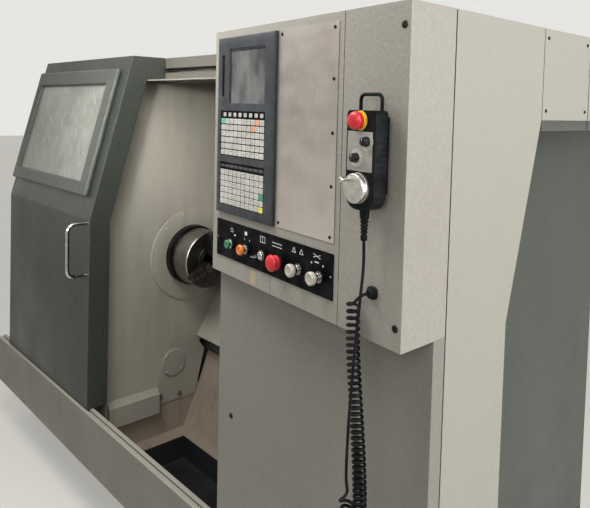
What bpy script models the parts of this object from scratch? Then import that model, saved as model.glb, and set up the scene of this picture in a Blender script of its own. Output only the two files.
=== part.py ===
"""CNC turning lathe: slant bed, sliding door, control box with hand pendant.

Metres, +Z up. X runs along the spindle, to the right as the operator sees it, -Y faces the
operator, and the origin is on the floor under the middle of the machine.
"""

import math

import bmesh
import bpy
from mathutils import Matrix, Vector

# Whole machine
MACHINE_LENGTH = 2.75
MACHINE_HEIGHT = 1.900
ENCLOSURE_DEPTH = 1.377
SHEET = 0.003
GAP = 0.0003
SINK = 0.002
OVERRUN = 0.02
WELD = 0.00001
SHARP_ANGLE = math.radians(32)

# Control box, turned towards the operator
CONSOLE_WIDTH = 0.721
CONSOLE_TURN = math.radians(6.62)
CONSOLE_LIP = 0.058
CONSOLE_HEIGHT = 0.645
CABINET_INSET = 0.012
CABINET_LIP = 0.038

# Hand pendant, places on the control face: along it from the left, and down from its top
PENDANT_ALONG = 0.647
PENDANT_TOP = 0.200
PENDANT_LENGTH = 0.185
PENDANT_WIDTH = 0.079
PENDANT_STANDOFF = 0.016
PENDANT_THICKNESS = 0.030
HANDWHEEL_RADIUS = 0.029
HANDWHEEL_THICKNESS = 0.018
HANDWHEEL_DOWN = 0.344
SPINNER_RADIUS = 0.0055
SPINNER_LENGTH = 0.020
SPINNER_ORBIT = 0.020
SPINNER_ANGLE = math.radians(125)

# Door
DOOR_LEFT = -1.229
DOOR_WIDTH = 0.927
DOOR_TRAVEL = 0.890
DOOR_DEPTH = 0.088
DOOR_TOP_SETBACK = 0.204
DOOR_KNEE_SETBACK = 0.020
DOOR_FOOT_SETBACK = 0.012
DOOR_KNEE_DROP = 0.667
DOOR_ARM_HEIGHT = 0.092
DOOR_CLEARANCE = 0.003

# Header over the door, and the beam below it
HEADER_SETBACK = 0.357
HEADER_DEPTH = 0.070
HEADER_HEIGHT = 0.103
BEAM_BOTTOM = 0.238
BEAM_TOP = 0.461
BEAM_DEPTH = 0.043

# Work chamber
WALL_X = -0.371
END_WALL_X = 1.100
BASE_TOP = 0.200
BASE_BOTTOM = 0.075

# Slant bed
BED_SLOPE = math.radians(58.4)
BED_SETBACK = 0.584
BED_HEIGHT = 0.619
BED_END_INSET = 0.325
BED_RIGHT = 1.080
BED_LENGTH_UP = 0.860
BED_SURFACE = -0.060
WAY_TOP = -0.025

# Spindle
SPINDLE_SETBACK = 0.542
SPINDLE_HEIGHT = 1.015
CHUCK_RADIUS = 0.127
CHUCK_FACE_X = -0.214

ROUND_SIDES = 40
SMALL_SIDES = 16

# Places worked out from those sizes
LEFT = -MACHINE_LENGTH / 2
RIGHT = MACHINE_LENGTH / 2
BED_LEFT = LEFT + BED_END_INSET
TURN_SIN = math.sin(CONSOLE_TURN)
TURN_COS = math.cos(CONSOLE_TURN)
PENDANT_FACE = PENDANT_STANDOFF + PENDANT_THICKNESS
SPINNER_ALONG = PENDANT_ALONG + SPINNER_ORBIT * math.cos(SPINNER_ANGLE)
SPINNER_TIP = PENDANT_FACE + HANDWHEEL_THICKNESS + SPINNER_LENGTH + 2 * GAP
FRONT_REACH = (
    CONSOLE_LIP + (SPINNER_ALONG + SPINNER_RADIUS) * TURN_SIN + SPINNER_TIP * TURN_COS
)
REAR = (ENCLOSURE_DEPTH + FRONT_REACH) / 2
FRONT = REAR - ENCLOSURE_DEPTH
CONSOLE_LEFT = RIGHT - CONSOLE_WIDTH * TURN_COS
CONSOLE_BOTTOM = MACHINE_HEIGHT - CONSOLE_HEIGHT
DOOR_KNEE_HEIGHT = MACHINE_HEIGHT - DOOR_KNEE_DROP
CABINET_LEFT = CONSOLE_LEFT + CABINET_INSET
HEADER_FRONT = FRONT + HEADER_SETBACK
HEADER_REAR = HEADER_FRONT + HEADER_DEPTH
HEADER_BOTTOM = MACHINE_HEIGHT - HEADER_HEIGHT
ARM_BOTTOM = MACHINE_HEIGHT - DOOR_ARM_HEIGHT
ROOF_UNDER = MACHINE_HEIGHT - SHEET
DOOR_RIGHT = DOOR_LEFT + DOOR_WIDTH
DOOR_BOTTOM = BEAM_TOP + GAP
SPINDLE_Y = FRONT + SPINDLE_SETBACK
CHAMBER_LEFT = WALL_X + GAP
CHAMBER_RIGHT = END_WALL_X - SHEET - 2 * GAP


def frame(origin, x_axis, y_axis):
    """The matrix that puts a local x and y along these two axes, from this origin."""
    x_axis = Vector(x_axis).normalized()
    y_axis = Vector(y_axis).normalized()
    z_axis = x_axis.cross(y_axis)
    turn = Matrix((x_axis, y_axis, z_axis)).transposed()
    return Matrix.Translation(origin) @ turn.to_4x4()


PLAN = Matrix.Identity(4)
SIDE = frame((0, 0, 0), (0, 1, 0), (0, 0, 1))
REAR_VIEW = frame((0, 0, 0), (1, 0, 0), (0, 0, 1))
BED = frame(
    (0, FRONT + BED_SETBACK, BED_HEIGHT),
    (1, 0, 0),
    (0, math.cos(BED_SLOPE), math.sin(BED_SLOPE)),
)
FACE = frame(
    (CONSOLE_LEFT, FRONT - CONSOLE_LIP, MACHINE_HEIGHT),
    (TURN_COS, -TURN_SIN, 0),
    (0, 0, 1),
)
SPINDLE = frame((0, SPINDLE_Y, SPINDLE_HEIGHT), (0, 1, 0), (0, 0, 1))
SPINDLE_ON_BED = BED.inverted() @ Vector((0, SPINDLE_Y, SPINDLE_HEIGHT))


def clear_scene():
    for old in list(bpy.data.objects):
        bpy.data.objects.remove(old, do_unlink=True)


clear_scene()
LATHE = bpy.data.collections.new("turning_lathe")
CUTTERS = bpy.data.collections.new("cutters")
bpy.context.scene.collection.children.link(LATHE)
bpy.context.scene.collection.children.link(CUTTERS)


def material(name, colour, roughness, metallic=0.0):
    made = bpy.data.materials.new(name)
    made.use_nodes = True
    shader = made.node_tree.nodes["Principled BSDF"]
    shader.inputs["Base Color"].default_value = (*colour, 1.0)
    shader.inputs["Roughness"].default_value = roughness
    shader.inputs["Metallic"].default_value = metallic
    return made


DOOR_PAINT = material("green_grey_enamel", (0.085, 0.105, 0.095), 0.35)
CASE_PAINT = material("warm_grey_enamel", (0.30, 0.30, 0.25), 0.45)
PALE_PAINT = material("pale_grey_enamel", (0.50, 0.51, 0.44), 0.5)
CHAMBER_PAINT = material("chamber_enamel", (0.30, 0.31, 0.26), 0.4)
TRAY_PAINT = material("beige_enamel", (0.33, 0.28, 0.19), 0.5)
CAST_IRON = material("painted_cast_iron", (0.20, 0.22, 0.20), 0.55)
STEEL = material("turned_steel", (0.35, 0.34, 0.32), 0.3, 1.0)
DARK_STEEL = material("blackened_steel", (0.05, 0.05, 0.05), 0.4, 0.8)
POLYCARBONATE = material("scratched_polycarbonate", (0.45, 0.47, 0.42), 0.35)
CHROME = material("chromed_tube", (0.60, 0.60, 0.58), 0.2, 1.0)
ALUMINIUM = material("brushed_aluminium", (0.62, 0.60, 0.57), 0.4, 1.0)
BLACK_PLASTIC = material("black_plastic", (0.025, 0.027, 0.03), 0.45)
GREY_PLASTIC = material("dark_grey_plastic", (0.07, 0.075, 0.08), 0.5)
GLASS = material("screen_glass", (0.03, 0.035, 0.045), 0.15)
KEY_PLASTIC = material("key_plastic", (0.62, 0.62, 0.58), 0.5)
RED_PLASTIC = material("red_plastic", (0.62, 0.035, 0.03), 0.35)
GREEN_PLASTIC = material("green_plastic", (0.02, 0.28, 0.14), 0.35)
ORANGE_PLASTIC = material("orange_plastic", (0.80, 0.22, 0.03), 0.35)
CLEAR_PLASTIC = material("clear_plastic", (0.60, 0.58, 0.52), 0.3)
RUBBER = material("black_rubber", (0.015, 0.015, 0.016), 0.6)


def place(name, mesh, where, finish, collection=LATHE):
    made = bpy.data.objects.new(name, mesh)
    made.matrix_world = where
    mesh.materials.append(finish)
    collection.objects.link(made)
    return made


def block(name, low, high, where=PLAN, finish=CASE_PAINT):
    """A box between two opposite corners, given in the local axes of where."""
    low = Vector(low)
    high = Vector(high)
    shape = bmesh.new()
    bmesh.ops.create_cube(shape, size=1)
    size = Matrix.Diagonal((*(high - low), 1))
    shape.transform(Matrix.Translation((low + high) / 2) @ size)
    mesh = bpy.data.meshes.new(name)
    shape.to_mesh(mesh)
    shape.free()
    return place(name, mesh, where, finish)


def as_mesh(name, curve, where, finish):
    """A curve's solid as a mesh object, its caps welded to its sides and its faces out."""
    drawn = bpy.data.objects.new(name + "_curve", curve)
    drawn.matrix_world = where
    LATHE.objects.link(drawn)
    graph = bpy.context.evaluated_depsgraph_get()
    mesh = bpy.data.meshes.new_from_object(drawn.evaluated_get(graph))
    bpy.data.objects.remove(drawn, do_unlink=True)
    shape = bmesh.new()
    shape.from_mesh(mesh)
    bmesh.ops.remove_doubles(shape, verts=shape.verts, dist=WELD)
    bmesh.ops.recalc_face_normals(shape, faces=shape.faces)
    shape.to_mesh(mesh)
    shape.free()
    mesh.materials.clear()
    mesh.name = name
    mesh.shade_smooth()
    mesh.set_sharp_from_angle(angle=SHARP_ANGLE)
    return place(name, mesh, where, finish)


def plate(name, loops, low, high, where=PLAN, finish=CASE_PAINT):
    """A flat outline, with the later loops as holes, given thickness from low to high."""
    curve = bpy.data.curves.new(name, "CURVE")
    curve.dimensions = "2D"
    curve.fill_mode = "BOTH"
    curve.extrude = (high - low) / 2
    for loop in loops:
        line = curve.splines.new("POLY")
        line.points.add(len(loop) - 1)
        for point, corner in zip(line.points, loop):
            point.co = (corner[0], corner[1], 0, 1)
        line.use_cyclic_u = True
    middle = Matrix.Translation((0, 0, (low + high) / 2))
    return as_mesh(name, curve, where @ middle, finish)


def turned(name, profile, where, finish, sides=ROUND_SIDES, ring=False):
    """A turned solid about the local z axis, from (radius, height) points, top to bottom."""
    mesh = bpy.data.meshes.new(name)
    points = [(radius, 0, height) for radius, height in profile]
    edges = [(i, i + 1) for i in range(len(points) - 1)]
    if ring:
        edges.append((len(points) - 1, 0))
    mesh.from_pydata(points, edges, [])
    made = place(name, mesh, where, finish)
    screw = made.modifiers.new("turn", "SCREW")
    screw.steps = sides
    screw.render_steps = sides
    screw.use_merge_vertices = True
    screw.merge_threshold = WELD
    screw.use_smooth_shade = True
    return made


def disc(name, radius, low, high, where, finish, sides=ROUND_SIDES):
    profile = [(0, high), (radius, high), (radius, low), (0, low)]
    return turned(name, profile, where, finish, sides)


def tube(name, points, radius, finish, where=PLAN, fineness=3):
    """A round bar along a list of points."""
    curve = bpy.data.curves.new(name, "CURVE")
    curve.dimensions = "3D"
    curve.bevel_depth = radius
    curve.bevel_resolution = fineness
    curve.use_fill_caps = True
    line = curve.splines.new("POLY")
    line.points.add(len(points) - 1)
    for point, place_on_path in zip(line.points, points):
        point.co = (*place_on_path, 1)
    return as_mesh(name, curve, where, finish)


def boolean(body, tool, operation):
    """One Boolean on body. The tool moves to the cutters and isn't rendered."""
    step = body.modifiers.new(operation.lower(), "BOOLEAN")
    step.operation = operation
    step.solver = "EXACT"
    step.object = tool
    tool.hide_render = True
    tool.display_type = "WIRE"
    LATHE.objects.unlink(tool)
    CUTTERS.objects.link(tool)


def cut(body, *tools):
    for tool in tools:
        boolean(body, tool, "DIFFERENCE")


def join(body, *tools):
    for tool in tools:
        boolean(body, tool, "UNION")


def common(body, tool):
    boolean(body, tool, "INTERSECT")


def round_edges(body, width, segments=2):
    step = body.modifiers.new("rounded edges", "BEVEL")
    step.width = width
    step.segments = segments
    step.limit_method = "ANGLE"
    step.angle_limit = math.radians(40)


def rectangle(left, right, bottom, top, radius=0.0, steps=4):
    """A rectangle's corner points, each corner an arc where a radius is given."""
    if not radius:
        return [(left, bottom), (right, bottom), (right, top), (left, top)]
    centres = [
        (right - radius, bottom + radius, -90),
        (right - radius, top - radius, 0),
        (left + radius, top - radius, 90),
        (left + radius, bottom + radius, 180),
    ]
    points = []
    for x, y, start in centres:
        for step in range(steps + 1):
            angle = math.radians(start + 90 * step / steps)
            points.append((x + radius * math.cos(angle), y + radius * math.sin(angle)))
    return points


def circle(x, y, radius, sides=SMALL_SIDES, start=0.0):
    return [
        (
            x + radius * math.cos(start + math.tau * i / sides),
            y + radius * math.sin(start + math.tau * i / sides),
        )
        for i in range(sides)
    ]


def arc(x, y, radius, start, end, steps):
    """Points on an arc, with its angles in degrees."""
    return [
        (
            x + radius * math.cos(math.radians(start + (end - start) * i / steps)),
            y + radius * math.sin(math.radians(start + (end - start) * i / steps)),
        )
        for i in range(steps + 1)
    ]


def crossing(a, b, height):
    """Where the line through a and b reaches a height."""
    share = (height - a[1]) / (b[1] - a[1])
    return (a[0] + (b[0] - a[0]) * share, height)


def offset_line(points, distance):
    """An open line moved to its left-hand side by a distance, with mitred corners."""
    points = [Vector(point) for point in points]
    runs = [(b - a).normalized() for a, b in zip(points, points[1:])]
    sides = [Vector((-run.y, run.x)) for run in runs]
    moved = [points[0] + sides[0] * distance]
    for before, after, point in zip(sides, sides[1:], points[1:-1]):
        share = 1 + before.dot(after)
        moved.append(point + (before + after) * distance / share)
    moved.append(points[-1] + sides[-1] * distance)
    return [tuple(point) for point in moved]


# The front of the enclosure seen from its side, from the top down: the door's outer face
DOOR_LINE = [
    (FRONT + DOOR_TOP_SETBACK, MACHINE_HEIGHT),
    (FRONT + DOOR_KNEE_SETBACK, DOOR_KNEE_HEIGHT),
    (FRONT + DOOR_FOOT_SETBACK, DOOR_BOTTOM),
]


def front_line(depth, top, bottom):
    """The door's outer line moved back by a depth, between two heights."""
    high, knee, low = offset_line(DOOR_LINE, depth)
    return [crossing(high, knee, top), knee, crossing(knee, low, bottom)]


# Base, with its levelling feet and the trough that a chip conveyor would lie in
BASE_FRONT_SETBACK = 0.140
TROUGH_FRONT_SETBACK = 0.250
TROUGH_REAR_SETBACK = 0.470
TROUGH_FLOOR = 0.100
TROUGH_LEFT = -0.300
FOOT_PAD_RADIUS = 0.055
FOOT_PAD_HEIGHT = 0.022
FOOT_SCREW_RADIUS = 0.016
FOOT_INSET = 0.090


def make_base():
    front = FRONT + BASE_FRONT_SETBACK
    rear = REAR - SHEET - GAP
    left = LEFT + SHEET + GAP
    right = END_WALL_X
    base = block("base_frame", (left, front, BASE_BOTTOM), (right, rear, BASE_TOP), PLAN, CAST_IRON)
    for x in (left + FOOT_INSET, (left + right) / 2, right - FOOT_INSET):
        for y in (front + FOOT_INSET, rear - FOOT_INSET):
            foot = turned(
                "levelling_foot",
                [
                    (0, BASE_BOTTOM + SINK),
                    (FOOT_SCREW_RADIUS, BASE_BOTTOM + SINK),
                    (FOOT_SCREW_RADIUS, FOOT_PAD_HEIGHT),
                    (FOOT_PAD_RADIUS, FOOT_PAD_HEIGHT),
                    (FOOT_PAD_RADIUS, 0),
                    (0, 0),
                ],
                Matrix.Translation((x, y, 0)),
                CAST_IRON,
                SMALL_SIDES,
            )
            join(base, foot)
    trough = block(
        "trough",
        (TROUGH_LEFT, FRONT + TROUGH_FRONT_SETBACK, TROUGH_FLOOR),
        (right + OVERRUN, FRONT + TROUGH_REAR_SETBACK, BASE_TOP + OVERRUN),
    )
    cut(base, trough)
    return base


# Slant bed casting: its two pairs of ways, and cored windows in its end webs
WAY_WIDTH = 0.060
LOWER_WAYS = (0.020, 0.200)
UPPER_WAYS = (0.330, 0.740)
BED_BACK_DEPTH = 0.060
BED_FOOT_FORWARD = 0.030
BED_WINDOW_RADIUS = 0.110


def bed_point(up, out):
    """World (y, z) of a point this far up the slope and out from the bed's cover plane."""
    point = BED @ Vector((0, up, out))
    return (point.y, point.z)


def make_bed():
    low = bed_point(0, BED_SURFACE)
    high = bed_point(BED_LENGTH_UP, BED_SURFACE)
    back = high[0] + BED_BACK_DEPTH
    floor = BASE_TOP + GAP
    outline = [
        low,
        high,
        (back, high[1]),
        (back, floor),
        (low[0] + BED_FOOT_FORWARD, floor),
        (low[0] + BED_FOOT_FORWARD, low[1] - BED_FOOT_FORWARD),
    ]
    bed = plate("slant_bed", [outline[::-1]], BED_LEFT, BED_RIGHT, SIDE, CAST_IRON)
    for start in LOWER_WAYS + UPPER_WAYS:
        way = block(
            "way",
            (BED_LEFT, start, BED_SURFACE - SINK),
            (BED_RIGHT, start + WAY_WIDTH, WAY_TOP),
            BED,
        )
        join(bed, way)
    window_y = back - BED_BACK_DEPTH - BED_WINDOW_RADIUS
    window = disc(
        "core_window",
        BED_WINDOW_RADIUS,
        BED_LEFT - OVERRUN,
        BED_RIGHT + OVERRUN,
        frame((0, window_y, floor + 2 * BED_WINDOW_RADIUS), (0, 1, 0), (0, 0, 1)),
        CAST_IRON,
    )
    cut(bed, window)
    return bed


# Headstock casting on the left end of the bed
HEADSTOCK_END_INSET = 0.375
HEADSTOCK_LEFT = LEFT + HEADSTOCK_END_INSET
HEADSTOCK_RIGHT = -0.420
HEADSTOCK_LOW = 0.030
HEADSTOCK_HIGH = 0.640
HEADSTOCK_CROWN = 0.190
SHAFT_RADIUS = 0.080
BORE_CLEARANCE = 0.0005
RIB_THICKNESS = 0.030


def make_headstock():
    up = SPINDLE_ON_BED.y
    out = SPINDLE_ON_BED.z
    seat = WAY_TOP + GAP
    outline = [
        (HEADSTOCK_LOW, seat),
        (HEADSTOCK_HIGH, seat),
        *arc(up, out, HEADSTOCK_CROWN, 20, 160, 10),
    ]
    along = frame(BED.translation, BED.col[1].xyz, BED.col[2].xyz)
    head = plate("headstock", [outline], HEADSTOCK_LEFT, HEADSTOCK_RIGHT, along, CAST_IRON)
    bore = disc(
        "headstock_bore",
        SHAFT_RADIUS + BORE_CLEARANCE,
        HEADSTOCK_LEFT - OVERRUN,
        HEADSTOCK_RIGHT + RIB_THICKNESS + OVERRUN,
        SPINDLE,
        CAST_IRON,
    )
    collar = turned(
        "bearing_collar",
        [
            (SHAFT_RADIUS, HEADSTOCK_RIGHT + RIB_THICKNESS),
            (SHAFT_RADIUS + RIB_THICKNESS, HEADSTOCK_RIGHT + RIB_THICKNESS),
            (SHAFT_RADIUS + RIB_THICKNESS, HEADSTOCK_RIGHT - SINK),
            (SHAFT_RADIUS, HEADSTOCK_RIGHT - SINK),
        ],
        SPINDLE,
        CAST_IRON,
        ROUND_SIDES,
        ring=True,
    )
    join(head, collar)
    cut(head, bore)
    return head


# Sheet-metal enclosure
OPENING_LEFT = -0.325
OPENING_RIGHT = 0.572
PANEL_BOTTOM = 0.300
LOUVRE_COUNT = 7
LOUVRE_WIDTH = 0.300
LOUVRE_HEIGHT = 0.010
LOUVRE_PITCH = 0.030
LOUVRE_TOP = 0.620
BAR_HOLE_RADIUS = 0.095
WALL_BOTTOM = 0.345
FLANGE_INNER = 0.112
LEDGE_FRONT_SETBACK = 0.132
LEDGE_REAR_SETBACK = 0.372
LEDGE_BOTTOM = 0.320
LEDGE_TOP = 0.433
LEDGE_DEPTH = 0.025
WALL_CORNER_INSET = 0.021


def panel_lines():
    """The fixed front panel's outer and inner lines, each from the top down."""
    front_depth = DOOR_DEPTH + DOOR_CLEARANCE
    top = ARM_BOTTOM - DOOR_CLEARANCE
    outer = front_line(front_depth, top, PANEL_BOTTOM)
    inner = front_line(front_depth + SHEET, top - SHEET, PANEL_BOTTOM)
    return outer, inner


def make_front_panel():
    """One folded sheet with the door opening cut out of it, and a flange back to the header."""
    outer, inner = panel_lines()
    end = HEADER_FRONT - GAP
    outline = [(end, outer[0][1]), *outer, *reversed(inner), (end, inner[0][1])]
    right = RIGHT - SHEET - GAP
    panel = plate("front_panel", [outline], LEFT, right, SIDE, CHAMBER_PAINT)
    opening = block(
        "door_opening",
        (OPENING_LEFT, FRONT, PANEL_BOTTOM - OVERRUN),
        (OPENING_RIGHT, HEADER_FRONT, inner[0][1] - SHEET),
    )
    cut(panel, opening)
    return panel


def make_left_wall():
    inner = panel_lines()[1]
    top, knee, low = [(y + GAP, z) for y, z in inner]
    foot = PANEL_BOTTOM - GAP
    outline = [
        (FRONT, BEAM_BOTTOM),
        (FRONT, foot),
        (low[0], foot),
        knee,
        crossing(top, knee, top[1] - GAP),
        (HEADER_FRONT - GAP, top[1] - GAP),
        (HEADER_FRONT - GAP, ROOF_UNDER - GAP),
        (REAR, ROOF_UNDER - GAP),
        (REAR, TROUGH_FLOOR),
        (FRONT + BASE_FRONT_SETBACK, TROUGH_FLOOR),
        (FRONT + BASE_FRONT_SETBACK, BEAM_BOTTOM),
    ]
    hole = circle(SPINDLE_Y, SPINDLE_HEIGHT, BAR_HOLE_RADIUS, ROUND_SIDES)
    return plate("left_end_wall", [outline[::-1], hole], LEFT, LEFT + SHEET, SIDE, CASE_PAINT)


def make_spindle_wall():
    inner = panel_lines()[1]
    top, knee, low = [(y + GAP, z) for y, z in inner]
    below_header = HEADER_BOTTOM - GAP
    cover = WAY_TOP + GAP
    bed_low = bed_point(-OVERRUN, BED_SURFACE)
    bed_bottom = bed_point(-OVERRUN, cover)
    bed_high = bed_point(BED_LENGTH_UP + OVERRUN, cover)
    outline = [
        crossing(knee, low, WALL_BOTTOM),
        knee,
        crossing(top, knee, below_header),
        (HEADER_REAR + GAP, below_header),
        (HEADER_REAR + GAP, ROOF_UNDER - GAP),
        (REAR - SHEET - GAP, ROOF_UNDER - GAP),
        (REAR - SHEET - GAP, bed_high[1]),
        bed_high,
        bed_bottom,
        (bed_low[0], bed_low[1] - OVERRUN),
        (FRONT + TRAY_STEP_SETBACK - WALL_CORNER_INSET, WALL_BOTTOM),
    ]
    hole = circle(SPINDLE_Y, SPINDLE_HEIGHT, FLANGE_INNER, ROUND_SIDES)
    wall = plate("spindle_wall", [outline[::-1], hole], WALL_X - SHEET, WALL_X, SIDE, CHAMBER_PAINT)
    ledge = plate(
        "ledge",
        [
            [
                (WALL_X - SINK, LEDGE_BOTTOM),
                (WALL_X + LEDGE_DEPTH, LEDGE_BOTTOM),
                (WALL_X + LEDGE_DEPTH, LEDGE_TOP - LEDGE_DEPTH),
                (WALL_X - SINK, LEDGE_TOP),
            ]
        ],
        -(FRONT + LEDGE_REAR_SETBACK),
        -(FRONT + LEDGE_FRONT_SETBACK),
        REAR_VIEW,
    )
    join(wall, ledge)
    return wall


def make_roof():
    low = (LEFT, HEADER_REAR + GAP, ROOF_UNDER)
    high = (END_WALL_X - GAP, REAR, MACHINE_HEIGHT)
    return block("roof_panel", low, high, PLAN, CASE_PAINT)


def make_rear_wall():
    wall = block(
        "rear_wall",
        (LEFT + SHEET + GAP, REAR - SHEET, TROUGH_FLOOR),
        (END_WALL_X - SHEET - 2 * GAP, REAR, ROOF_UNDER - GAP),
        PLAN,
        CASE_PAINT,
    )
    middle = (LEFT + WALL_X) / 2
    for row in range(LOUVRE_COUNT):
        top = LOUVRE_TOP - row * LOUVRE_PITCH
        slot = block(
            "louvre_slot",
            (middle - LOUVRE_WIDTH / 2, REAR - SHEET - OVERRUN, top - LOUVRE_HEIGHT),
            (middle + LOUVRE_WIDTH / 2, REAR + OVERRUN, top),
        )
        cut(wall, slot)
    return wall


# Header over the door, a folded channel with the slot that the door's hangers run in
HEADER_SLOT_LOW = 0.041
HEADER_SLOT_HIGH = 0.059
HEADER_SLOT_DEPTH = 0.052


def make_header():
    low = HEADER_BOTTOM
    outline = [
        (HEADER_FRONT, low),
        (HEADER_REAR, low),
        (HEADER_REAR, MACHINE_HEIGHT),
        (HEADER_FRONT, MACHINE_HEIGHT),
        (HEADER_FRONT, low + HEADER_SLOT_HIGH),
        (HEADER_FRONT + HEADER_SLOT_DEPTH, low + HEADER_SLOT_HIGH),
        (HEADER_FRONT + HEADER_SLOT_DEPTH, low + HEADER_SLOT_LOW),
        (HEADER_FRONT, low + HEADER_SLOT_LOW),
    ]
    left = LEFT + SHEET + GAP
    return plate("door_header", [outline], left, END_WALL_X - GAP, SIDE, CASE_PAINT)


# Front beam: the guard below the door, with the rail groove that guides the door's lip
GROOVE_SETBACK = 0.016
GROOVE_WIDTH = 0.010
GROOVE_DEPTH = 0.008
RAIL_THICKNESS = 0.012
BEAM_LIP = 0.030


def make_beam():
    rear = FRONT + BEAM_DEPTH
    groove = FRONT + GROOVE_SETBACK
    under_rail = BEAM_TOP - RAIL_THICKNESS
    outline = [
        (FRONT, BEAM_BOTTOM),
        (rear, BEAM_BOTTOM),
        (rear, BEAM_BOTTOM + SHEET),
        (FRONT + SHEET, BEAM_BOTTOM + SHEET),
        (FRONT + SHEET, under_rail),
        (rear - SHEET, under_rail),
        (rear - SHEET, under_rail - BEAM_LIP),
        (rear, under_rail - BEAM_LIP),
        (rear, BEAM_TOP),
        (groove + GROOVE_WIDTH, BEAM_TOP),
        (groove + GROOVE_WIDTH, BEAM_TOP - GROOVE_DEPTH),
        (groove, BEAM_TOP - GROOVE_DEPTH),
        (groove, BEAM_TOP),
        (FRONT, BEAM_TOP),
    ]
    start = LEFT + SHEET + GAP
    return plate("front_beam", [outline], start, CABINET_LEFT - GAP, SIDE, CASE_PAINT)


# Chip tray below the work chamber: an open trough with a slot to the conveyor
TRAY_SHEET = 0.004
TRAY_FRONT_SETBACK = 0.0463
TRAY_TOP = 0.452
TRAY_BEND_HEIGHT = 0.330
TRAY_FLOOR_FRONT_SETBACK = 0.200
TRAY_FLOOR_REAR_SETBACK = 0.520
TRAY_STEP_SETBACK = 0.594
TRAY_STEP_HEIGHT = 0.368
TRAY_REAR_SETBACK = 0.655
TRAY_REAR_TOP = 0.530
TRAY_END_TOP = 0.400
TRAY_END_FRONT_SETBACK = 0.120


def make_tray():
    floor = BASE_TOP + GAP
    line = [
        (FRONT + TRAY_REAR_SETBACK, TRAY_REAR_TOP),
        (FRONT + TRAY_STEP_SETBACK, TRAY_STEP_HEIGHT),
        (FRONT + TRAY_FLOOR_REAR_SETBACK, floor),
        (FRONT + TRAY_FLOOR_FRONT_SETBACK, floor),
        (FRONT + TRAY_FRONT_SETBACK, TRAY_BEND_HEIGHT),
        (FRONT + TRAY_FRONT_SETBACK, TRAY_TOP),
    ]
    inside = offset_line(line, -TRAY_SHEET)
    end_face = WALL_X - SHEET - GAP
    left = end_face - TRAY_SHEET
    tray = plate("chip_tray", [line + inside[::-1]], left, CHAMBER_RIGHT, SIDE, TRAY_PAINT)
    end_outline = [
        line[2],
        line[3],
        crossing(line[3], line[4], BEAM_BOTTOM),
        (FRONT + TRAY_END_FRONT_SETBACK, TRAY_END_TOP),
        (line[1][0], TRAY_END_TOP),
        line[1],
    ]
    end = plate("tray_end", [end_outline], left, end_face, SIDE)
    slot = block(
        "chip_slot",
        (TROUGH_LEFT, FRONT + TROUGH_FRONT_SETBACK, BASE_TOP - OVERRUN),
        (CHAMBER_RIGHT + OVERRUN, FRONT + TROUGH_REAR_SETBACK, BASE_TOP + OVERRUN),
    )
    pedestal_depth = DOOR_FOOT_SETBACK + DOOR_DEPTH + DOOR_CLEARANCE + SHEET + GAP
    pedestal = block(
        "pedestal_clearance",
        (CABINET_LEFT - GAP, FRONT, BASE_TOP),
        (CHAMBER_RIGHT + OVERRUN, FRONT + pedestal_depth, MACHINE_HEIGHT),
    )
    cut(tray, slot, pedestal)
    join(tray, end)
    return tray


# Right end: the outer side wall, the wall of the recess, and the box over it
SIDE_WALL_TOP_SETBACK = 0.361
OVERHEAD_HEIGHT = 0.214
OVERHEAD_BOTTOM = MACHINE_HEIGHT - OVERHEAD_HEIGHT
OUTLET_BOTTOM = 0.215
OUTLET_TOP = 0.420
PANEL_PITCH = 0.254
SEAM_WIDTH = 0.003
SEAM_DEPTH = 0.002
RAIL_STRIP_HEIGHT = 0.025
RAIL_STRIP_DEPTH = 0.030
RAIL_STRIP_INSET = 0.005


def side_wall_edge():
    """The rear edge of the right side wall, from the overhead box down to its knee."""
    slope = (DOOR_TOP_SETBACK - DOOR_KNEE_SETBACK) / (MACHINE_HEIGHT - DOOR_KNEE_HEIGHT)
    high = (FRONT + SIDE_WALL_TOP_SETBACK, OVERHEAD_BOTTOM)
    drop = OVERHEAD_BOTTOM - DOOR_KNEE_HEIGHT
    knee = (high[0] - slope * drop, DOOR_KNEE_HEIGHT)
    return high, knee


def make_side_wall():
    high, knee = side_wall_edge()
    outline = [
        (FRONT + GAP, BEAM_BOTTOM),
        (knee[0], BEAM_BOTTOM),
        knee,
        high,
        (high[0], MACHINE_HEIGHT),
        (FRONT + GAP, MACHINE_HEIGHT),
    ]
    return plate("right_side_wall", [outline], RIGHT - SHEET, RIGHT, SIDE, PALE_PAINT)


def make_end_wall():
    """The recess wall, and its sheet turned outwards along the side wall's rear edge."""
    high, knee = side_wall_edge()
    floor = BASE_TOP + GAP
    back = offset_line([(high[0], OVERHEAD_BOTTOM - GAP), knee, (knee[0], BEAM_BOTTOM)], -SHEET)
    front = [(high[0], OVERHEAD_BOTTOM - GAP), knee, (knee[0], BEAM_BOTTOM)]
    left = END_WALL_X - SHEET - GAP
    turned_out = plate("turned_out", [front + back[::-1]], left, RIGHT - SHEET - GAP, SIDE)
    outline = [
        (knee[0] - SHEET, floor),
        (REAR - SHEET - GAP, floor),
        (REAR - SHEET - GAP, ROOF_UNDER - GAP),
        (HEADER_REAR + GAP, ROOF_UNDER - GAP),
        (HEADER_REAR + GAP, OVERHEAD_BOTTOM - GAP),
        (high[0], OVERHEAD_BOTTOM - GAP),
        (knee[0], knee[1]),
    ]
    outlet = rectangle(
        FRONT + TROUGH_FRONT_SETBACK,
        FRONT + TROUGH_REAR_SETBACK,
        OUTLET_BOTTOM,
        OUTLET_TOP,
    )
    wall = plate("right_end_wall", [outline, outlet], left, END_WALL_X - GAP, SIDE, PALE_PAINT)
    join(wall, turned_out)
    return wall


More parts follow.
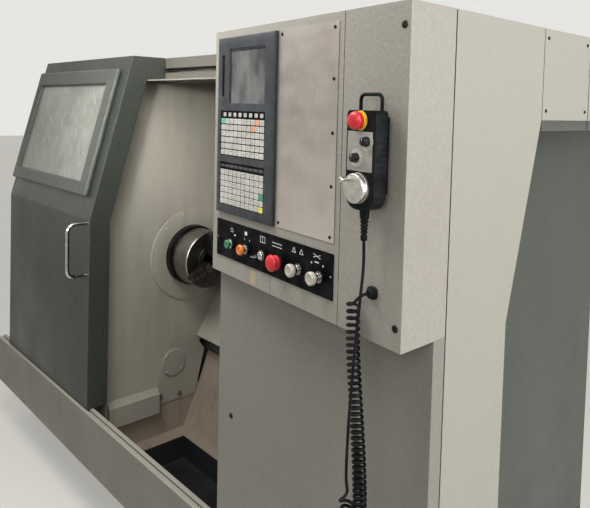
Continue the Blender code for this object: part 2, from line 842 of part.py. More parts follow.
def make_overhead():
    front = FRONT + SIDE_WALL_TOP_SETBACK + GAP
    housing = block(
        "overhead_box",
        (END_WALL_X, front, OVERHEAD_BOTTOM),
        (RIGHT, REAR, MACHINE_HEIGHT),
        PLAN,
        PALE_PAINT,
    )
    strip = block(
        "rail_strip",
        (RIGHT - RAIL_STRIP_INSET - RAIL_STRIP_DEPTH, front, OVERHEAD_BOTTOM - RAIL_STRIP_HEIGHT),
        (RIGHT - RAIL_STRIP_INSET, REAR, OVERHEAD_BOTTOM + SINK),
    )
    join(housing, strip)
    seam = front + PANEL_PITCH
    while seam < REAR - PANEL_PITCH / 2:
        groove = block(
            "panel_seam",
            (RIGHT - SEAM_DEPTH, seam, OVERHEAD_BOTTOM - OVERRUN / 2),
            (RIGHT + OVERRUN, seam + SEAM_WIDTH, MACHINE_HEIGHT + OVERRUN),
        )
        cut(housing, groove)
        seam += PANEL_PITCH
    return housing


# Pedestal: the control box over a lower cabinet, both open to the enclosure behind them
def hollow_case(name, plan, outline, bottom, top, finish):
    """The solid that both a plan and a side outline allow, with its inside cut away."""
    low_x = min(x for x, y in plan)
    high_x = max(x for x, y in plan)
    case = plate(name, [outline], low_x - OVERRUN, high_x + OVERRUN, SIDE, finish)
    plan_tool = plate(name + "_plan", [plan], bottom - OVERRUN, top + OVERRUN)
    common(case, plan_tool)
    return case


def pedestal_plan(left, front_left, front_right, wall):
    rear = HEADER_REAR
    side = RIGHT - SHEET - GAP - wall
    if wall:
        return [(left, front_left), (side, front_right), (side, rear), (left, rear)]
    return [
        (left, front_left),
        (RIGHT, front_right),
        (RIGHT, FRONT),
        (side, FRONT),
        (side, rear),
        (left, rear),
    ]


def pedestal_back(top, bottom):
    """The line where the pedestal meets the fixed front panel, from the top down."""
    return front_line(DOOR_DEPTH + DOOR_CLEARANCE - GAP, top, bottom)


def make_control_box():
    front_left = FRONT - CONSOLE_LIP
    front_right = front_left - CONSOLE_WIDTH * TURN_SIN
    arm = ARM_BOTTOM - DOOR_CLEARANCE + GAP
    bottom = CONSOLE_BOTTOM + GAP
    back = pedestal_back(arm, DOOR_KNEE_HEIGHT - OVERRUN)
    outline = [
        (front_right - OVERRUN, bottom),
        crossing(back[0], back[1], bottom),
        back[0],
        (HEADER_FRONT - GAP, arm),
        (HEADER_FRONT - GAP, MACHINE_HEIGHT),
        (front_right - OVERRUN, MACHINE_HEIGHT),
    ]
    plan = pedestal_plan(CONSOLE_LEFT, front_left, front_right, 0)
    box = hollow_case("control_box", plan, outline, bottom, MACHINE_HEIGHT, CASE_PAINT)
    inner_plan = pedestal_plan(
        CONSOLE_LEFT + SHEET, front_left + SHEET, front_right + SHEET, SHEET
    )
    inside = plate("box_inside", [inner_plan], bottom + SHEET, MACHINE_HEIGHT - SHEET)
    cut(box, inside)
    return box


def make_cabinet():
    front = FRONT - CABINET_LIP
    top = CONSOLE_BOTTOM
    back = pedestal_back(ARM_BOTTOM, BEAM_BOTTOM)
    outline = [
        (front - OVERRUN, BEAM_BOTTOM),
        back[2],
        back[1],
        crossing(back[0], back[1], top),
        (front - OVERRUN, top),
    ]
    plan = pedestal_plan(CABINET_LEFT, front, front, 0)
    cabinet = hollow_case("lower_cabinet", plan, outline, BEAM_BOTTOM, top, CASE_PAINT)
    inner_plan = pedestal_plan(CABINET_LEFT + SHEET, front + SHEET, front + SHEET, SHEET)
    inside = plate("cabinet_inside", [inner_plan], BEAM_BOTTOM + SHEET, top - SHEET)
    cut(cabinet, inside)
    return cabinet


# Screen and keypad unit on the control face
BEZEL = (0.032, 0.302, 0.0215, 0.478)
BEZEL_THICKNESS = 0.010
BEZEL_CORNER = 0.006
BEZEL_POCKET = 0.004
SCREEN = (0.092, 0.261, 0.051, 0.191)
SLOT = (0.052, 0.067, 0.066, 0.175)
KEYPADS = ((0.049, 0.265, 0.210, 0.328), (0.049, 0.265, 0.344, 0.457))
SCREEN_THICKNESS = 0.0025
KEY_ROWS = 6
KEY_COLUMNS = 8
KEY_GAP = 0.003
KEY_HEIGHT = 0.0015
KEYPAD_THICKNESS = 0.0025


def on_face(area, inset=0.0):
    """A rectangle on the control face, from its sides along and down the face."""
    left, right, high, low = area
    return (left + inset, right - inset, -low + inset, -high - inset)


def make_bezel():
    outline = rectangle(*on_face(BEZEL), BEZEL_CORNER)
    bezel = plate("cnc_bezel", [outline], GAP, BEZEL_THICKNESS, FACE, GREY_PLASTIC)
    for area in (SCREEN, *KEYPADS, SLOT):
        left, right, low, high = on_face(area)
        floor = BEZEL_THICKNESS - BEZEL_POCKET
        pocket = block("pocket", (left, low, floor), (right, high, BEZEL_THICKNESS + OVERRUN), FACE)
        cut(bezel, pocket)
    return bezel


def make_screen():
    left, right, low, high = on_face(SCREEN, GAP)
    base = BEZEL_THICKNESS - BEZEL_POCKET + GAP
    return block(
        "display_screen", (left, low, base), (right, high, base + SCREEN_THICKNESS), FACE, GLASS
    )


def make_keypad(name, area):
    """A membrane sheet with its keys raised on it."""
    left, right, low, high = on_face(area, GAP)
    base = BEZEL_THICKNESS - BEZEL_POCKET + GAP
    sheet = block(name, (left, low, base), (right, high, base + KEYPAD_THICKNESS), FACE, KEY_PLASTIC)
    column = (right - left) / KEY_COLUMNS
    row = (high - low) / KEY_ROWS
    top = base + KEYPAD_THICKNESS
    across = [left + column * (i + 1) for i in range(KEY_COLUMNS - 1)]
    up = [low + row * (i + 1) for i in range(KEY_ROWS - 1)]
    for x in across:
        groove = block(
            "groove",
            (x - KEY_GAP / 2, low - OVERRUN, top - KEY_HEIGHT),
            (x + KEY_GAP / 2, high + OVERRUN, top + OVERRUN),
            FACE,
        )
        cut(sheet, groove)
    for y in up:
        groove = block(
            "groove",
            (left - OVERRUN, y - KEY_GAP / 2, top - KEY_HEIGHT),
            (right + OVERRUN, y + KEY_GAP / 2, top + OVERRUN),
            FACE,
        )
        cut(sheet, groove)
    return sheet


# Aluminium plate, and the black strip with the switches below it
FACE_PLATE = (0.308, 0.523, 0.020, 0.477)
FACE_PLATE_THICKNESS = 0.002
SWITCH_STRIP = (0.029, 0.524, 0.4995, 0.597)
STRIP_THICKNESS = 0.003
SWITCH_FIRST = 0.110
SWITCH_PITCH = 0.075
SWITCH_DOWN = 0.555
CROWN_SHARE = 0.6
COLLAR_RADIUS = 0.0145
COLLAR_BORE = 0.0105
COLLAR_HEIGHT = 0.007
BUTTON_TRAVEL = 0.004
SWITCHES = (
    # name, stem height, cap radius, cap height, finish
    ("green_button", 0.007, 0.0115, 0.0080, GREEN_PLASTIC),
    ("orange_button", 0.010, 0.0135, 0.0120, ORANGE_PLASTIC),
    ("key_switch", 0.003, 0.0102, 0.0050, CHROME),
    ("emergency_stop", 0.014, 0.0200, 0.0180, RED_PLASTIC),
    ("white_button_left", 0.016, 0.0150, 0.0130, CLEAR_PLASTIC),
    ("white_button_right", 0.016, 0.0150, 0.0130, CLEAR_PLASTIC),
)
KEY_BLADE = (0.0105, 0.0012, 0.024)


def make_face_plate():
    outline = rectangle(*on_face(FACE_PLATE))
    return plate("face_plate", [outline], GAP, FACE_PLATE_THICKNESS, FACE, ALUMINIUM)


def switch_place(number):
    along = SWITCH_FIRST + SWITCH_PITCH * number
    return FACE @ Matrix.Translation((along, -SWITCH_DOWN, STRIP_THICKNESS))


def make_switch_plate():
    outline = rectangle(*on_face(SWITCH_STRIP))
    strip = plate("switch_plate", [outline], GAP, STRIP_THICKNESS, FACE, BLACK_PLASTIC)
    for number in range(len(SWITCHES)):
        profile = [
            (COLLAR_BORE, COLLAR_HEIGHT),
            (COLLAR_RADIUS - SINK / 2, COLLAR_HEIGHT),
            (COLLAR_RADIUS, COLLAR_HEIGHT - SINK / 2),
            (COLLAR_RADIUS, -SINK / 2),
            (COLLAR_BORE, -SINK / 2),
        ]
        collar = turned(
            "switch_collar", profile, switch_place(number), DARK_STEEL, SMALL_SIDES, ring=True
        )
        join(strip, collar)
    return strip


def make_switch(number):
    """A cap on a stem in its collar, standing clear of the strip by its travel."""
    name, stem, cap_radius, cap_height, finish = SWITCHES[number]
    where = switch_place(number)
    stem_radius = COLLAR_BORE - GAP
    base = BUTTON_TRAVEL + GAP
    top = base + stem + cap_height
    shoulder = base + stem
    edge = cap_height / 4
    if cap_radius < COLLAR_BORE:
        profile = [(0, top), (stem_radius - edge, top), (stem_radius, top - edge)]
        profile += [(stem_radius, base), (0, base)]
    else:
        clear = COLLAR_HEIGHT + BUTTON_TRAVEL + GAP
        shoulder = max(shoulder, clear)
        top = shoulder + cap_height
        profile = [
            (0, top),
            (cap_radius * CROWN_SHARE, top - edge / 4),
            (cap_radius - edge / 2, top - edge),
            (cap_radius, top - 2 * edge),
            (cap_radius - edge / 3, shoulder),
            (stem_radius, shoulder),
            (stem_radius, base),
            (0, base),
        ]
    made = turned(name, profile, where, finish, SMALL_SIDES)
    if name == "key_switch":
        wide, thick, long = KEY_BLADE
        blade = block(
            "key_blade", (-wide, -thick, top - SINK), (wide, thick, top + long), where, CHROME
        )
        join(made, blade)
    return made


# Hand pendant, held to the control face by its magnet
MAGNET_INSET = 0.012
HANGER_WIDTH = 0.058
HANGER_RISE = 0.030
HANGER_RADIUS = 0.0035
HANGER_OUT = 0.022
PENDANT_CORNER = 0.008
PENDANT_FOOT_RADIUS = 0.030
RIB_COUNT = 8
RIB_DEPTH = 0.0015
RIB_WIDTH = 0.004
RIB_PITCH = 0.011
RIB_TOP = 0.050
STOP_ALONG = 0.645
STOP_DOWN = 0.219
STOP_RADIUS = 0.017
STOP_CAP_HEIGHT = 0.013
STOP_COLLAR_RADIUS = 0.0125
STOP_COLLAR_BORE = 0.0085
STOP_COLLAR_HEIGHT = 0.006
DIALS = (("upper_dial", 0.664, 0.257), ("lower_dial", 0.636, 0.288))
DIAL_RADIUS = 0.0095
DIAL_HEIGHT = 0.012
DIAL_BAR = 0.0022


def pendant_outline():
    """Square shoulders at the top, and sides that draw in to a rounded foot."""
    half = PENDANT_WIDTH / 2
    top = -PENDANT_TOP
    foot = top - PENDANT_LENGTH
    corner = PENDANT_CORNER
    left = PENDANT_ALONG - half
    right = PENDANT_ALONG + half
    return [
        *arc(left + corner, top - corner, corner, 180, 90, 3),
        *arc(right - corner, top - corner, corner, 90, 0, 3),
        *arc(right - PENDANT_FOOT_RADIUS, foot + PENDANT_FOOT_RADIUS, PENDANT_FOOT_RADIUS, 0, -90, 6),
        *arc(left + PENDANT_FOOT_RADIUS, foot + PENDANT_FOOT_RADIUS, PENDANT_FOOT_RADIUS, -90, -180, 6),
    ]


def make_pendant():
    outline = pendant_outline()[::-1]
    body = plate("pendant_housing", [outline], PENDANT_STANDOFF, PENDANT_FACE, FACE, BLACK_PLASTIC)
    half = PENDANT_WIDTH / 2 - MAGNET_INSET
    magnet = block(
        "magnet",
        (PENDANT_ALONG - half, -PENDANT_TOP - PENDANT_LENGTH + PENDANT_FOOT_RADIUS, GAP),
        (PENDANT_ALONG + half, -PENDANT_TOP - MAGNET_INSET, PENDANT_STANDOFF + SINK),
        FACE,
    )
    join(body, magnet)
    half = HANGER_WIDTH / 2
    top = -PENDANT_TOP + HANGER_RISE
    bend = 3 * HANGER_RADIUS
    path = [
        (PENDANT_ALONG - half, -PENDANT_TOP - SINK, HANGER_OUT),
        *[
            (x, y, HANGER_OUT)
            for x, y in arc(PENDANT_ALONG - half + bend, top - bend, bend, 180, 90, 4)
        ],
        *[
            (x, y, HANGER_OUT)
            for x, y in arc(PENDANT_ALONG + half - bend, top - bend, bend, 90, 0, 4)
        ],
        (PENDANT_ALONG + half, -PENDANT_TOP - SINK, HANGER_OUT),
    ]
    join(body, tube("hanger", path, HANGER_RADIUS, BLACK_PLASTIC, FACE, 2))
    for side in (-1, 1):
        for rib in range(RIB_COUNT):
            x = PENDANT_ALONG + side * PENDANT_WIDTH / 2
            y = -PENDANT_TOP - RIB_TOP - rib * RIB_PITCH
            groove = block(
                "grip_groove",
                (x - RIB_DEPTH, y - RIB_WIDTH / 2, PENDANT_STANDOFF - OVERRUN / 2),
                (x + RIB_DEPTH, y + RIB_WIDTH / 2, PENDANT_FACE - RIB_WIDTH),
                FACE,
            )
            cut(body, groove)
    collar = turned(
        "stop_collar",
        [
            (STOP_COLLAR_BORE, STOP_COLLAR_HEIGHT),
            (STOP_COLLAR_RADIUS, STOP_COLLAR_HEIGHT),
            (STOP_COLLAR_RADIUS, -SINK),
            (STOP_COLLAR_BORE, -SINK),
        ],
        pendant_place(STOP_ALONG, STOP_DOWN),
        BLACK_PLASTIC,
        SMALL_SIDES,
        ring=True,
    )
    join(body, collar)
    return body


def pendant_place(along, down):
    return FACE @ Matrix.Translation((along, -down, PENDANT_FACE))


def make_pendant_stop():
    base = BUTTON_TRAVEL + GAP
    shoulder = STOP_COLLAR_HEIGHT + BUTTON_TRAVEL + GAP
    top = shoulder + STOP_CAP_HEIGHT
    edge = STOP_CAP_HEIGHT / 4
    stem = STOP_COLLAR_BORE - GAP
    profile = [
        (0, top),
        (STOP_RADIUS * CROWN_SHARE, top - edge / 4),
        (STOP_RADIUS - edge / 2, top - edge),
        (STOP_RADIUS, top - 2 * edge),
        (STOP_RADIUS - edge / 3, shoulder),
        (stem, shoulder),
        (stem, base),
        (0, base),
    ]
    where = pendant_place(STOP_ALONG, STOP_DOWN)
    return turned("pendant_stop", profile, where, RED_PLASTIC, SMALL_SIDES)


def make_dial(name, along, down):
    where = pendant_place(along, down)
    profile = [
        (0, DIAL_HEIGHT),
        (DIAL_RADIUS - DIAL_BAR / 2, DIAL_HEIGHT),
        (DIAL_RADIUS, DIAL_HEIGHT - DIAL_BAR),
        (DIAL_RADIUS, GAP),
        (0, GAP),
    ]
    dial = turned(name, profile, where, BLACK_PLASTIC, SMALL_SIDES)
    pointer = block(
        "pointer",
        (-DIAL_BAR / 2, 0, DIAL_HEIGHT - SINK),
        (DIAL_BAR / 2, DIAL_RADIUS - DIAL_BAR / 2, DIAL_HEIGHT + DIAL_BAR / 2),
        where,
    )
    join(dial, pointer)
    return dial


# Pendant handwheel, with the crank spinner on its face
WHEEL_RIM = 0.006
WHEEL_DISH = 0.003
SPINNER_WAIST_SHARE = 0.7


def make_handwheel():
    where = pendant_place(PENDANT_ALONG, HANDWHEEL_DOWN)
    top = HANDWHEEL_THICKNESS + GAP
    bevel = WHEEL_DISH / 2
    inner = HANDWHEEL_RADIUS - WHEEL_RIM
    profile = [
        (0, top - WHEEL_DISH),
        (inner - bevel, top - WHEEL_DISH),
        (inner, top),
        (HANDWHEEL_RADIUS - bevel, top),
        (HANDWHEEL_RADIUS, top - bevel),
        (HANDWHEEL_RADIUS, GAP),
        (0, GAP),
    ]
    wheel = turned("handwheel", profile, where, ALUMINIUM, ROUND_SIDES // 2)
    boss = spinner_place()
    lift = -WHEEL_DISH
    seat = disc("spinner_boss", SPINNER_RADIUS, lift - SINK, 0, boss, ALUMINIUM, SMALL_SIDES)
    join(wheel, seat)
    return wheel


def spinner_place():
    x = SPINNER_ORBIT * math.cos(SPINNER_ANGLE)
    y = SPINNER_ORBIT * math.sin(SPINNER_ANGLE)
    lift = HANDWHEEL_THICKNESS + GAP
    return pendant_place(PENDANT_ALONG, HANDWHEEL_DOWN) @ Matrix.Translation((x, y, lift))


def make_spinner():
    waist = SPINNER_RADIUS * SPINNER_WAIST_SHARE
    top = SPINNER_LENGTH + GAP
    profile = [
        (0, top),
        (SPINNER_RADIUS * CROWN_SHARE, top),
        (SPINNER_RADIUS, top - SPINNER_RADIUS / 2),
        (SPINNER_RADIUS, top - SPINNER_RADIUS),
        (waist, GAP + SPINNER_RADIUS),
        (waist, GAP),
        (0, GAP),
    ]
    return turned("crank_spinner", profile, spinner_place(), CHROME, SMALL_SIDES)


# Pendant cord: its gland on the face, the curly length, the straight tail and the boot
GLAND_PLACE = (0.645, 0.548)
GLAND_RADIUS = 0.013
GLAND_NECK_SHARE = 0.75
GLAND_HEIGHT = 0.014
BOOT_TOP_RADIUS = 0.010
BOOT_FOOT_RADIUS = 0.006
BOOT_LENGTH = 0.058
BOOT_RIBS = 6
CORD_RADIUS = 0.003
COIL_RADIUS = 0.0145
CORD_OUT = 0.031
CORD_STEP = 0.012
COIL_STEP = 0.016
# (along, down, out) on the control face, chosen by hand
COIL_ROUTE = [
    (0.6450, 0.5480, 0.0143),
    (0.6450, 0.5480, 0.0220),
    (0.6400, 0.5500, 0.0310),
    (0.6280, 0.5560, 0.0350),
    (0.6170, 0.5680, 0.0330),
    (0.6100, 0.5880, 0.0270),
    (0.6080, 0.6150, 0.0220),
    (0.6110, 0.6600, 0.0200),
    (0.6155, 0.7050, 0.0200),
    (0.6220, 0.7500, 0.0200),
    (0.6280, 0.7970, 0.0200),
    (0.6340, 0.8430, 0.0200),
    (0.6385, 0.8880, 0.0200),
    (0.6410, 0.9250, 0.0200),
    (0.6425, 0.9600, 0.0200),
    (0.6450, 1.0000, 0.0200),
    (0.6490, 1.0400, 0.0200),
    (0.6500, 1.0750, 0.0200),
    (0.6440, 1.1050, 0.0200),
    (0.6260, 1.1200, 0.0200),
    (0.6080, 1.1050, 0.0200),
    (0.6020, 1.0750, 0.0200),
    (0.6030, 1.0400, 0.0200),
    (0.6060, 1.0050, 0.0200),
    (0.6085, 0.9800, 0.0205),
    (0.6095, 0.9680, 0.0215),
]
TAIL_ROUTE = [
    (0.6096, 0.9672, 0.0216),
    (0.6100, 0.9600, 0.0224),
    (0.6050, 0.9480, 0.0300),
    (0.6020, 0.9350, 0.0420),
    (0.6120, 0.9230, 0.0500),
    (0.6300, 0.9130, 0.0520),
    (0.6410, 0.8960, 0.0520),
    (0.6420, 0.8660, 0.0510),
    (0.6400, 0.8200, 0.0500),
    (0.6400, 0.7780, 0.0500),
    (0.6440, 0.7360, 0.0505),
    (0.6500, 0.6900, 0.0515),
    (0.6570, 0.6330, 0.0530),
    (0.6640, 0.5800, 0.0540),
    (0.6650, 0.5350, 0.0500),
    (0.6580, 0.4950, 0.0400),
    (0.6500, 0.4650, 0.0325),
    (0.6470, 0.4463, 0.0310),
]


def face_point(point):
    along, down, out = point
    return FACE @ Vector((along, -down, out))


def smooth_route(route, step):
    """Points a step apart on a smooth curve through the route's own points."""
    points = [face_point(point) for point in route]
    points = [2 * points[0] - points[1], *points, 2 * points[-1] - points[-2]]
    made = []
    for a, b, c, d in zip(points, points[1:], points[2:], points[3:]):
        count = max(1, round((c - b).length / step))
        for i in range(count):
            t = i / count
            made.append(
                (
                    2 * b
                    + (c - a) * t
                    + (2 * a - 5 * b + 4 * c - d) * t**2
                    + (3 * b - a - 3 * c + d) * t**3
                )
                / 2
            )
    made.append(points[-2])
    return made


def make_gland():
    along, down = GLAND_PLACE
    where = FACE @ Matrix.Translation((along, -down, 0))
    profile = [
        (0, GLAND_HEIGHT),
        (GLAND_RADIUS * GLAND_NECK_SHARE, GLAND_HEIGHT),
        (GLAND_RADIUS * GLAND_NECK_SHARE, GLAND_HEIGHT / 2),
        (GLAND_RADIUS, GLAND_HEIGHT / 2),
        (GLAND_RADIUS, GAP),
        (0, GAP),
    ]
    return turned("cord_gland", profile, where, BLACK_PLASTIC, SMALL_SIDES)


def make_boot():
    """A tapered, ribbed strain relief hanging from the pendant's foot."""
    top = -PENDANT_TOP - PENDANT_LENGTH - GAP
    where = FACE @ frame((PENDANT_ALONG, top - BOOT_LENGTH, CORD_OUT), (0, 0, 1), (1, 0, 0))
    steps = 2 * BOOT_RIBS
    profile = [(0, BOOT_LENGTH)]
    for step in range(steps + 1):
        share = step / steps
        radius = BOOT_TOP_RADIUS + (BOOT_FOOT_RADIUS - BOOT_TOP_RADIUS) * share
        groove = CORD_RADIUS / 3 if step % 2 else 0
        profile.append((radius - groove, BOOT_LENGTH * (1 - share)))
    profile.append((0, 0))
    return turned("cord_boot", profile, where, RUBBER, SMALL_SIDES)


def make_cord():
    coil = smooth_route(COIL_ROUTE, COIL_STEP)
    tail = smooth_route(TAIL_ROUTE, CORD_STEP)
    tube("cord_coil", coil, COIL_RADIUS, RUBBER, PLAN, 2)
    tube("cord_tail", tail, CORD_RADIUS, RUBBER, PLAN, 2)


# Sliding door: a deep folded shell, with its window frame, pane and handle
DOOR_SHEET = 0.003
GUIDE_CLEARANCE = 0.002
HANGER_TAB_THICKNESS = 0.006
HANGER_TAB_REACH = 0.040
DOOR_REAR_CLEARANCE = 0.005
WINDOW_LEFT_INSET = 0.007
WINDOW_RIGHT_INSET = 0.066
WINDOW_HIGH = 0.058
WINDOW_LOW = 0.605
FRAME_THICKNESS = 0.022
FRAME_SIDE_LEFT = 0.052
FRAME_SIDE_RIGHT = 0.074
FRAME_TOP = 0.070
FRAME_FOOT = 0.058
FRAME_BEVEL = 0.006
PANE_THICKNESS = 0.006
PANE_LAP = 0.009
HANDLE_INSET = 0.024
HANDLE_BELOW_KNEE = 0.013
HANDLE_LENGTH = 0.210
HANDLE_HIGH = DOOR_KNEE_HEIGHT - HANDLE_BELOW_KNEE
HANDLE_LOW = HANDLE_HIGH - HANDLE_LENGTH
HANDLE_REACH = 0.078
HANDLE_RADIUS = 0.008
HANDLE_BEND = 0.030


def slope_frame():
    """The matrix of the door's slanted face: x along it, y up it, from its top edge."""
    top, knee = (Vector((0, *point)) for point in DOOR_LINE[:2])
    return frame(top, (1, 0, 0), top - knee)


DOOR_SLOPE = slope_frame()


def make_door():
    top, knee, foot = DOOR_LINE
    depth_top, depth_knee, depth_foot = front_line(DOOR_DEPTH, ARM_BOTTOM, DOOR_BOTTOM)
    arm_end = HEADER_FRONT - DOOR_REAR_CLEARANCE
    outline = [
        top,
        knee,
        foot,
        depth_foot,
        depth_knee,
        depth_top,
        (arm_end, ARM_BOTTOM),
        (arm_end, MACHINE_HEIGHT),
    ]
    door = plate("door_shell", [outline], DOOR_LEFT, DOOR_RIGHT, SIDE, DOOR_PAINT)
    inside = front_line(DOOR_SHEET, MACHINE_HEIGHT - DOOR_SHEET, DOOR_BOTTOM + DOOR_SHEET)
    hollow = plate(
        "door_inside",
        [
            [
                *inside,
                (arm_end + OVERRUN, DOOR_BOTTOM + DOOR_SHEET),
                (arm_end + OVERRUN, MACHINE_HEIGHT - DOOR_SHEET),
            ]
        ],
        DOOR_LEFT + DOOR_SHEET,
        DOOR_RIGHT - DOOR_SHEET,
        SIDE,
    )
    cut(door, hollow)
    lip_front = FRONT + GROOVE_SETBACK + GUIDE_CLEARANCE
    lip_rear = FRONT + GROOVE_SETBACK + GROOVE_WIDTH - GUIDE_CLEARANCE
    lip = block(
        "guide_lip",
        (DOOR_LEFT, lip_front, BEAM_TOP - GROOVE_DEPTH + GUIDE_CLEARANCE),
        (DOOR_RIGHT, lip_rear, DOOR_BOTTOM + DOOR_SHEET / 2),
    )
    slot_middle = HEADER_BOTTOM + (HEADER_SLOT_LOW + HEADER_SLOT_HIGH) / 2
    for start in (DOOR_LEFT, DOOR_RIGHT - DOOR_DEPTH):
        tab = block(
            "hanger_tab",
            (start, arm_end - OVERRUN, slot_middle - HANGER_TAB_THICKNESS / 2),
            (
                start + DOOR_DEPTH,
                arm_end + HANGER_TAB_REACH,
                slot_middle + HANGER_TAB_THICKNESS / 2,
            ),
        )
        join(door, tab)
    left, right, low, high = glass_opening()
    opening = block(
        "window_opening",
        (left, low, -2 * DOOR_SHEET),
        (right, high, OVERRUN),
        DOOR_SLOPE,
    )
    join(door, lip)
    cut(door, opening)
    return door


def glass_opening():
    """Left, right, low and high sides of the open glass area, on the slanted face."""
    left = DOOR_LEFT + WINDOW_LEFT_INSET + FRAME_SIDE_LEFT
    right = DOOR_RIGHT - WINDOW_RIGHT_INSET - FRAME_SIDE_RIGHT
    return left, right, -WINDOW_LOW + FRAME_FOOT, -WINDOW_HIGH - FRAME_TOP


def make_window_frame():
    left, right, low, high = glass_opening()
    outer = rectangle(
        DOOR_LEFT + WINDOW_LEFT_INSET, DOOR_RIGHT - WINDOW_RIGHT_INSET, -WINDOW_LOW, -WINDOW_HIGH
    )
    inner = rectangle(left, right, low, high)
    made = plate("window_frame", [outer, inner], GAP, FRAME_THICKNESS, DOOR_SLOPE, DOOR_PAINT)
    round_edges(made, FRAME_BEVEL, 1)
    rebate = block(
        "rebate",
        (left - PANE_LAP - GAP, low - PANE_LAP - GAP, -OVERRUN),
        (right + PANE_LAP + GAP, high + PANE_LAP + GAP, PANE_THICKNESS + 3 * GAP),
        DOOR_SLOPE,
    )
    cut(made, rebate)
    return made


def make_pane():
    left, right, low, high = glass_opening()
    return block(
        "window_pane",
        (left - PANE_LAP, low - PANE_LAP, 2 * GAP),
        (right + PANE_LAP, high + PANE_LAP, 2 * GAP + PANE_THICKNESS),
        DOOR_SLOPE,
        POLYCARBONATE,
    )


def make_handle():
    top, knee, foot = (Vector((0, *point)) for point in DOOR_LINE)
    share = (HANDLE_LOW - foot.z) / (knee.z - foot.z)
    base = foot.y + (knee.y - foot.y) * share
    x = DOOR_RIGHT - HANDLE_INSET
    where = frame((x, base, 0), (0, -1, 0), (0, 0, 1))
    seat = GAP
    reach = HANDLE_REACH
    bend = HANDLE_BEND
    path = [
        (seat, HANDLE_LOW, 0),
        *[(u, v, 0) for u, v in arc(reach - bend, HANDLE_LOW + bend, bend, -90, 0, 6)],
        *[(u, v, 0) for u, v in arc(reach - bend, HANDLE_HIGH - bend, bend, 0, 90, 6)],
        (seat, HANDLE_HIGH, 0),
    ]
    return tube("door_handle", path, HANDLE_RADIUS, CHROME, where, 3)


# Spindle: shaft with its pulley and nose, chuck, and three stepped jaws
SHAFT_END_INSET = 0.185
SHAFT_LEFT = LEFT + SHAFT_END_INSET
NOSE_RADIUS = 0.105
NOSE_RIGHT = -0.345
BACK_RING_RADIUS = 0.131
BACK_RING_RIGHT = -0.328
THROUGH_BORE = 0.033
PULLEY_END_INSET = 0.210
PULLEY_WIDTH = 0.080
PULLEY_LEFT = LEFT + PULLEY_END_INSET
PULLEY_RIGHT = PULLEY_LEFT + PULLEY_WIDTH
PULLEY_RADIUS = 0.100
PULLEY_RIM = 0.004
CHUCK_BORE = 0.038
CHUCK_EDGE = 0.003
FLANGE_RADIUS = 0.210
FLANGE_THICKNESS = 0.005
JAW_SLOT_WIDTH = 0.022
JAW_SLOT_DEPTH = 0.012
JAW_WIDTH = 0.040
JAW_INNER = 0.028
JAW_LENGTH = 0.094
JAW_STEP_SHARES = (0.34, 0.67)
JAW_HEIGHTS = (0.045, 0.034, 0.022)
JAW_TRAVEL = 0.004
JAW_ANGLES = (90, 210, 330)


def make_flange():
    profile = [
        (FLANGE_INNER, FLANGE_THICKNESS),
        (FLANGE_RADIUS - FLANGE_THICKNESS, FLANGE_THICKNESS),
        (FLANGE_RADIUS, FLANGE_THICKNESS / 2),
        (FLANGE_RADIUS, GAP),
        (FLANGE_INNER, GAP),
    ]
    where = SPINDLE @ Matrix.Translation((0, 0, WALL_X))
    return turned("spindle_flange", profile, where, CHAMBER_PAINT, ROUND_SIDES, ring=True)


def make_spindle():
    start = HEADSTOCK_RIGHT + RIB_THICKNESS + GAP
    profile = [
        (THROUGH_BORE, BACK_RING_RIGHT),
        (BACK_RING_RADIUS, BACK_RING_RIGHT),
        (BACK_RING_RADIUS, NOSE_RIGHT),
        (NOSE_RADIUS, NOSE_RIGHT),
        (NOSE_RADIUS, start),
        (SHAFT_RADIUS, start),
        (SHAFT_RADIUS, PULLEY_RIGHT),
        (PULLEY_RADIUS + PULLEY_RIM, PULLEY_RIGHT),
        (PULLEY_RADIUS + PULLEY_RIM, PULLEY_RIGHT - PULLEY_RIM),
        (PULLEY_RADIUS, PULLEY_RIGHT - PULLEY_RIM),
        (PULLEY_RADIUS, PULLEY_LEFT + PULLEY_RIM),
        (PULLEY_RADIUS + PULLEY_RIM, PULLEY_LEFT + PULLEY_RIM),
        (PULLEY_RADIUS + PULLEY_RIM, PULLEY_LEFT),
        (SHAFT_RADIUS, PULLEY_LEFT),
        (SHAFT_RADIUS, SHAFT_LEFT),
        (THROUGH_BORE, SHAFT_LEFT),
    ]
    return turned("spindle_shaft", profile, SPINDLE, DARK_STEEL, ROUND_SIDES, ring=True)


def make_chuck():
    profile = [
        (CHUCK_BORE, CHUCK_FACE_X),
        (CHUCK_RADIUS - CHUCK_EDGE, CHUCK_FACE_X),
        (CHUCK_RADIUS, CHUCK_FACE_X - CHUCK_EDGE),
        (CHUCK_RADIUS, BACK_RING_RIGHT + GAP),
        (CHUCK_BORE, BACK_RING_RIGHT + GAP),
    ]
    chuck = turned("chuck_body", profile, SPINDLE, STEEL, ROUND_SIDES, ring=True)
    for angle in JAW_ANGLES:
        slot = block(
            "jaw_slot",
            (0, -JAW_SLOT_WIDTH / 2, -JAW_SLOT_DEPTH),
            (CHUCK_RADIUS + OVERRUN, JAW_SLOT_WIDTH / 2, OVERRUN),
            jaw_frame(angle),
        )
        cut(chuck, slot)
    return chuck


def jaw_frame(angle):
    """On the chuck's face: x outwards along the jaw, z out of the face."""
    turn = Matrix.Rotation(math.radians(angle), 4, "Z")
    return SPINDLE @ Matrix.Translation((0, 0, CHUCK_FACE_X)) @ turn


